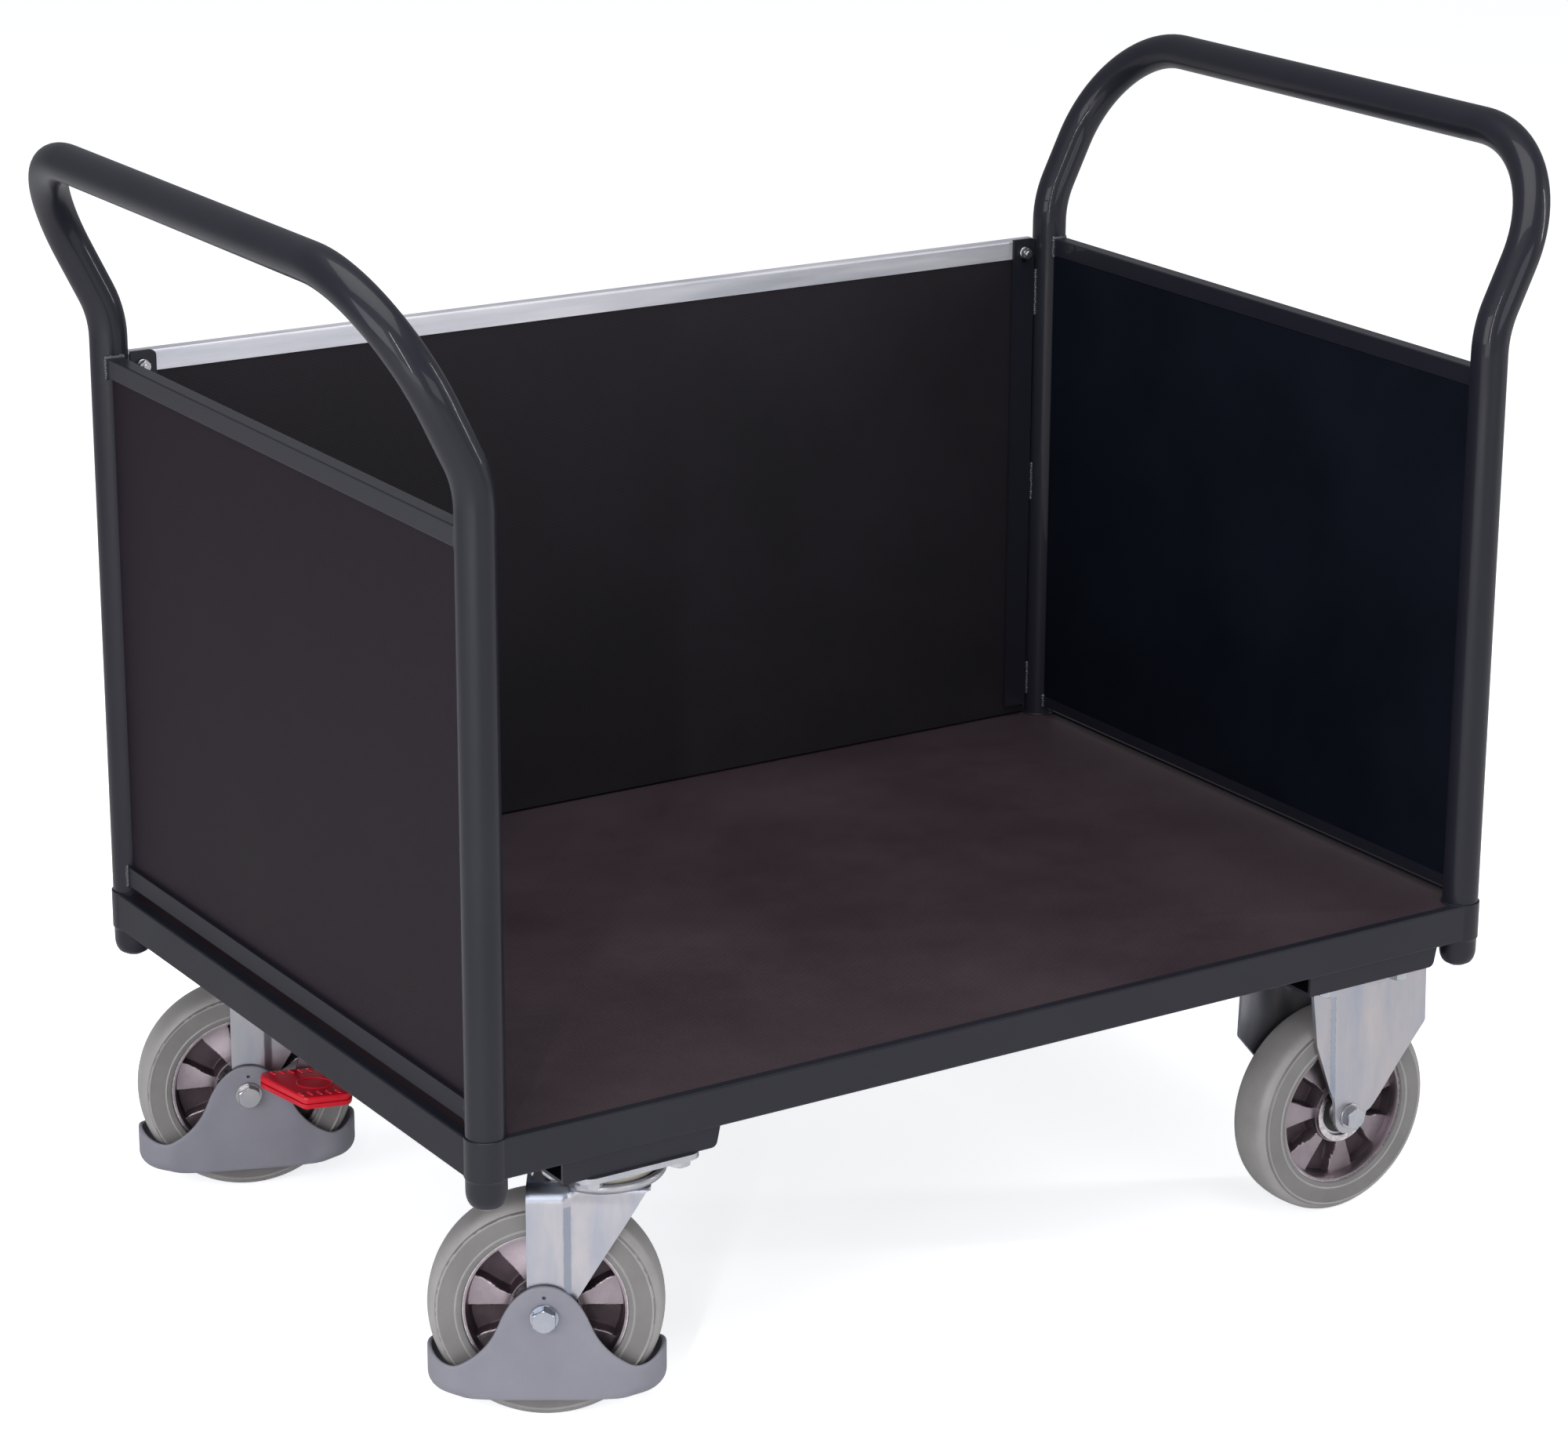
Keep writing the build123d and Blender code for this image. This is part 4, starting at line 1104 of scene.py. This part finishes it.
def rim(castor):
    radii = [23.6, 24.2, 26.5, 29.1, 29.5, 29.9, 30.6, 31.3, 32, 32.7, 33.5, 35, 38, 42, 46, 50, 54, 58, 60,
             61.3, 62.2, 63.1, 64, 64.9, 65.6, 66.2, 67.0, 67.9, 68.8, 69.55]
    around = SPOKES * 76
    turn = radians(WHEEL_TURN[castor])
    place = axle_place(castor)
    verts = []
    for side in (-1, 1):
        for radius in radii:
            for i in range(around):
                angle = 2 * pi * i / around
                y = rim_height(radius, angle)
                x = radius * cos(angle + turn)
                z = radius * sin(angle + turn)
                verts.append(place @ Vector((x * MM, side * y * MM, z * MM)))
    sheet = len(radii) * around
    faces = bands(len(radii), around) + bands(len(radii), around, sheet)
    for ring in (0, len(radii) - 1):
        for i in range(around):
            a, b = ring * around + i, ring * around + (i + 1) % around
            faces.append((a, b, sheet + b, sheet + a))
    piece = shape("spoked_rim_" + castor, verts, faces, cast_metal, 42)
    piece.data.materials.append(machined_metal)
    piece.data.materials.append(pocket_shade_casting)
    inverse = place.inverted()
    for face in piece.data.polygons:
        centre = inverse @ face.center
        reach = sqrt(centre.x ** 2 + centre.z ** 2) / MM
        if abs(centre.y) > 20.5 * MM and (reach > 68.6 or reach < 29.3):
            face.material_index = 1
        # Faces below the spoke tops, between the spokes, take the painted pocket shade.
        elif abs(centre.y) < (spoke_height(reach) - 1.5) * MM and 31 < reach < 66:
            face.material_index = 2
    fit(piece, "wheel_" + castor, "cast_rim", "rim_" + castor)


def bearings(castor):
    """Outer and inner races with a dark seal between them, one at each end of the hub."""
    parts = Parts()
    place = axle_place(castor) @ TOWARDS_FRONT
    for side in (place, place @ Matrix.Rotation(pi, 4, "X")):
        profile = [(6, 10.06), (18.3, 10.06), (18.5, 10.4), (18.5, 12.8), (17.6, 13.2), (17.6, 20.6),
                   (18.5, 21.0), (18.5, 23.2), (18.2, 23.55), (6, 23.55)]
        parts.add(turned([(h * MM, r * MM) for h, r in profile], 64, loop=True), side)
    piece = shape("ball_bearings_" + castor, *parts.both(), bright_zinc, 30)
    piece.data.materials.append(seal_rubber)
    inverse = place.inverted()
    for face in piece.data.polygons:
        centre = inverse @ face.center
        if 13.1 * MM < sqrt(centre.x ** 2 + centre.y ** 2) < 20.8 * MM and abs(centre.z) > 12 * MM:
            face.material_index = 1
    fit(piece, "wheel_" + castor, "zinc_fixings", "wheel_bearings_" + castor)


for castor in CORNERS:
    tyre(castor)
    rim(castor)
    bearings(castor)


# ---------------- foot guards
# A moulded grey plastic ring close to the floor round each swivelling wheel, rising on both sides
# into a plate that the axle bolt clamps to the fork. The top edge is rounded all the way.

guard_plastic = finish(
    "guard_grey_plastic", (0.150, 0.150, 0.180), (0.176, 0.175, 0.207), (0.46, 0.56), bump=0.22, bump_mm=0.35,
    mottle_scale=12.0, grain_scale=650.0,
)
GUARD_CREST = [(0, 128.5), (10, 126.9), (18, 122.6), (25.5, 115.8), (31.5, 107.5), (36.0, 99), (39.5, 90.5),
               (44.0, 81.5), (50.5, 72.5), (58.5, 64.6), (67.5, 58.4), (77, 54.4), (85, 54.6), (91, 56.0),
               (96, 58.2), (101, 61.5)]


def crest_height(x):
    """Top edge of the guard over x, by a smooth curve through its crest points."""
    x = min(abs(x), GUARD_CREST[-1][0])
    for i in range(len(GUARD_CREST) - 1):
        if x <= GUARD_CREST[i + 1][0]:
            break
    before = GUARD_CREST[i - 1] if i else (-GUARD_CREST[1][0], GUARD_CREST[1][1])
    (x1, z1), (x2, z2) = GUARD_CREST[i], GUARD_CREST[i + 1]
    after = GUARD_CREST[min(i + 2, len(GUARD_CREST) - 1)]
    gap = x2 - x1
    slope1 = (z2 - before[1]) / (x2 - before[0])
    slope2 = (after[1] - z1) / (after[0] - x1) if after[0] > x1 else 0.0
    t = (x - x1) / gap
    bend = (2 * t ** 3 - 3 * t ** 2 + 1) * z1 + (t ** 3 - 2 * t ** 2 + t) * gap * slope1
    return bend + (3 * t ** 2 - 2 * t ** 3) * z2 + (t ** 3 - t ** 2) * gap * slope2


def guard_section(foot, crest, wall):
    """Closed wall section: (inward, height) points with a round top and a rounded foot."""
    half = wall / 2
    rise = crest - half - foot
    points = [(wall, foot), (1.6, foot), (0.5, foot + 0.5), (0, foot + 1.8)]
    points += [(0, foot + h) for h in (3.2, 5.0, 7.5, 10.5, 14.0)]
    points += [(0, foot + 14 + (rise - 14) * t) for t in (0.25, 0.5, 0.75)]
    turns = [radians(a) for a in range(0, 181, 20)]
    points += [(half - half * cos(a), crest - half + half * sin(a)) for a in turns]
    points += [(wall, foot + 14 + (rise - 14) * t) for t in (0.75, 0.5, 0.25)]
    points += [(wall, foot + h) for h in (14.0, 10.5, 7.5, 5.0, 3.2)]
    return points


def bored(piece, drill):
    """The piece with the drill cut out of it."""
    cut = piece.modifiers.new("bore", "BOOLEAN")
    cut.operation = "DIFFERENCE"
    cut.solver = "EXACT"
    cut.object = drill
    mesh = bpy.data.meshes.new_from_object(piece.evaluated_get(bpy.context.evaluated_depsgraph_get()))
    mesh.set_sharp_from_angle(angle=radians(40))
    piece.modifiers.clear()
    piece.data = mesh
    bpy.data.objects.remove(drill)
    return piece


def foot_guard(castor):
    half_x, half_y, bend, wall, foot = 101.0, GUARD_FACE, 33.0, 3.8, 24.5
    stations = []
    flat, along, round_end = half_x - bend, 68, 24
    for way in (-1, 1):
        for i in range(along + 1):
            stations.append((way * flat * (1 - 2 * i / along), way * half_y, 0.0, float(way)))
        for i in range(1, round_end):
            a = radians(90 * way + 180 * i / round_end)
            stations.append((-way * flat + bend * cos(a), half_y * sin(a), cos(a), sin(a)))
    place = axle_place(castor)
    verts = []
    for x, y, out_x, out_y in stations:
        section = guard_section(foot, crest_height(x), wall)
        at_end = ease(abs(x), 58, 84)
        for inward, height in section:
            flare = 2.2 * (1 - ease(height, foot, 95)) * (1 - ease(abs(x), 36, 64))
            low = max(0.0, 12.0 - (height - foot))
            tuck = (12.0 - sqrt(144.0 - low ** 2)) * at_end
            inset = inward - flare + tuck
            spot = Vector((x - out_x * inset, y - out_y * inset, height - WHEEL_RADIUS))
            verts.append(place @ (spot * MM))
    faces = bands(len(stations), len(section), closed=True)
    guard = shape("foot_guard_moulding_" + castor, verts, faces, guard_plastic, 50)
    above_axle = place @ Matrix.Translation((0, 0, 18.2 * MM)) @ TOWARDS_FRONT
    pin_hole = Parts().add(bar(1.7 * MM, 30 * MM, 45 * MM), above_axle)
    guard = bored(guard, shape("pin_hole", *pin_hole.both(), guard_plastic))
    fit(guard, "swivel_" + castor, "guard_plastic", "foot_guard_" + castor)


for castor in SWIVELS:
    foot_guard(castor)


# ---------------- brake
# A red moulded foot pad on a plated steel lever, with a shoe that presses on the tread. It turns
# on a pin through the fork of the back left castor.

red_plastic = coat(finish(
    "red_pedal_plastic", (0.46, 0.002, 0.013), (0.58, 0.004, 0.018), (0.30, 0.40), specular=0.3, bump=0.10,
    bump_mm=0.3, mottle_scale=30.0, grain_scale=500.0,
), 0.2, 0.15)


# A darker copy of the red moulding for the top face: painted shade on what is one plastic.
red_top_painted_shade = coat(finish(
    "red_pedal_top_painted_shade", (0.36, 0.002, 0.012), (0.45, 0.0035, 0.016), (0.32, 0.44), specular=0.3, bump=0.10,
    bump_mm=0.3, mottle_scale=30.0, grain_scale=500.0,
), 0.15, 0.18)


def soft_corners(corners, radius, parts=7):
    """Closed outline with rounded corners, as points with their outward directions."""
    count = len(corners)
    points = []
    for i in range(count):
        before, corner, after = corners[i - 1], corners[i], corners[(i + 1) % count]
        back, on = (before - corner).normalized(), (after - corner).normalized()
        half = back.angle(on) / 2
        centre = corner + (back + on).normalized() * (radius / sin(half))
        first = corner + back * (radius / tan(half)) - centre
        last = corner + on * (radius / tan(half)) - centre
        for k in range(parts + 1):
            way = first.slerp(last, k / parts).normalized()
            points.append((centre + way * radius, way))
    return points


def foot_pad():
    """Slab with a groove round its side, an oval in relief and a row of pips along each long side."""
    corners = [(4, -40.8), (60, -39.2), (92, -88), (88.5, -99.5), (46, -103)]
    corners = [Vector((x, y, 0)) for x, y in corners]
    outline = soft_corners(corners, 7.5)
    layers = [(-13.0, 2.0), (-12.6, 0.8), (-11.8, 0.2), (-7.8, 0.0), (-7.5, 1.4), (-5.4, 1.4), (-5.1, 0.0),
              (-2.6, 0.0), (-1.3, 0.3), (-0.4, 1.1), (0.0, 2.4)]
    tilt = Matrix.Translation((0, -41 * MM, 24.0 * MM)) @ Matrix.Rotation(radians(3.6), 4, "X")
    tilt = axle_place("back_left") @ tilt @ Matrix.Translation((0, 41 * MM, 0))
    count = len(outline)
    verts = [
        (point - way * inset + Vector((0, 0, height))) * MM
        for height, inset in layers for point, way in outline
    ]
    faces = bands(len(layers), count) + [tuple(range(count)), tuple(range(len(verts) - count, len(verts)))]
    parts = Parts().add((verts, faces), tilt)
    along = (corners[4] - corners[0]).normalized()
    across = (corners[1] - corners[0]).normalized()
    pip = [(-1.0, 0), (-1.0, 2.6), (0.4, 2.3), (1.2, 1.4), (1.5, 0)]
    pip = [(height * MM, radius * MM) for height, radius in pip]
    longer = Matrix.Rotation(radians(-56), 4, "Z") @ Matrix.Diagonal((1.9, 0.8, 1.0, 1.0))
    for start, run in ((corners[0] + across * 14 + along * 8, 5), (corners[4] + across * 3 - along * 9, 5)):
        for i in range(run):
            spot = start + across * (i * 8.4)
            parts.add(turned(pip, 20), tilt @ Matrix.Translation(spot * MM) @ longer)
    middle_spot = sum(corners, Vector()) / len(corners)
    ring = [(-1.0, 12.2), (0.7, 12.4), (1.0, 13.0), (0.7, 13.6), (-1.0, 13.8)]
    ring = [(height * MM, radius * MM) for height, radius in ring]
    oval = Matrix.Rotation(radians(-14), 4, "Z") @ Matrix.Diagonal((1.25, 0.85, 1.0, 1.0))
    parts.add(turned(ring, 56, loop=True), tilt @ Matrix.Translation(middle_spot * MM) @ oval)
    slots = {part["node"]: part["material_slot"] for part in frame["record"]["subparts"]}
    piece = shape("foot_pad", *parts.both(), red_plastic, 40)
    piece.data.materials.append(red_top_painted_shade)
    # Faces that look straight up take the darker red: painted shade on the top.
    for face in piece.data.polygons:
        if face.normal.z > 0.9:
            face.material_index = 1
    fit(piece, "brake", slots["brake_pedal"], "brake_pedal")


foot_pad()
dress(fork_zinc, "brake_lever", "brake_shoe", "brake_pin")
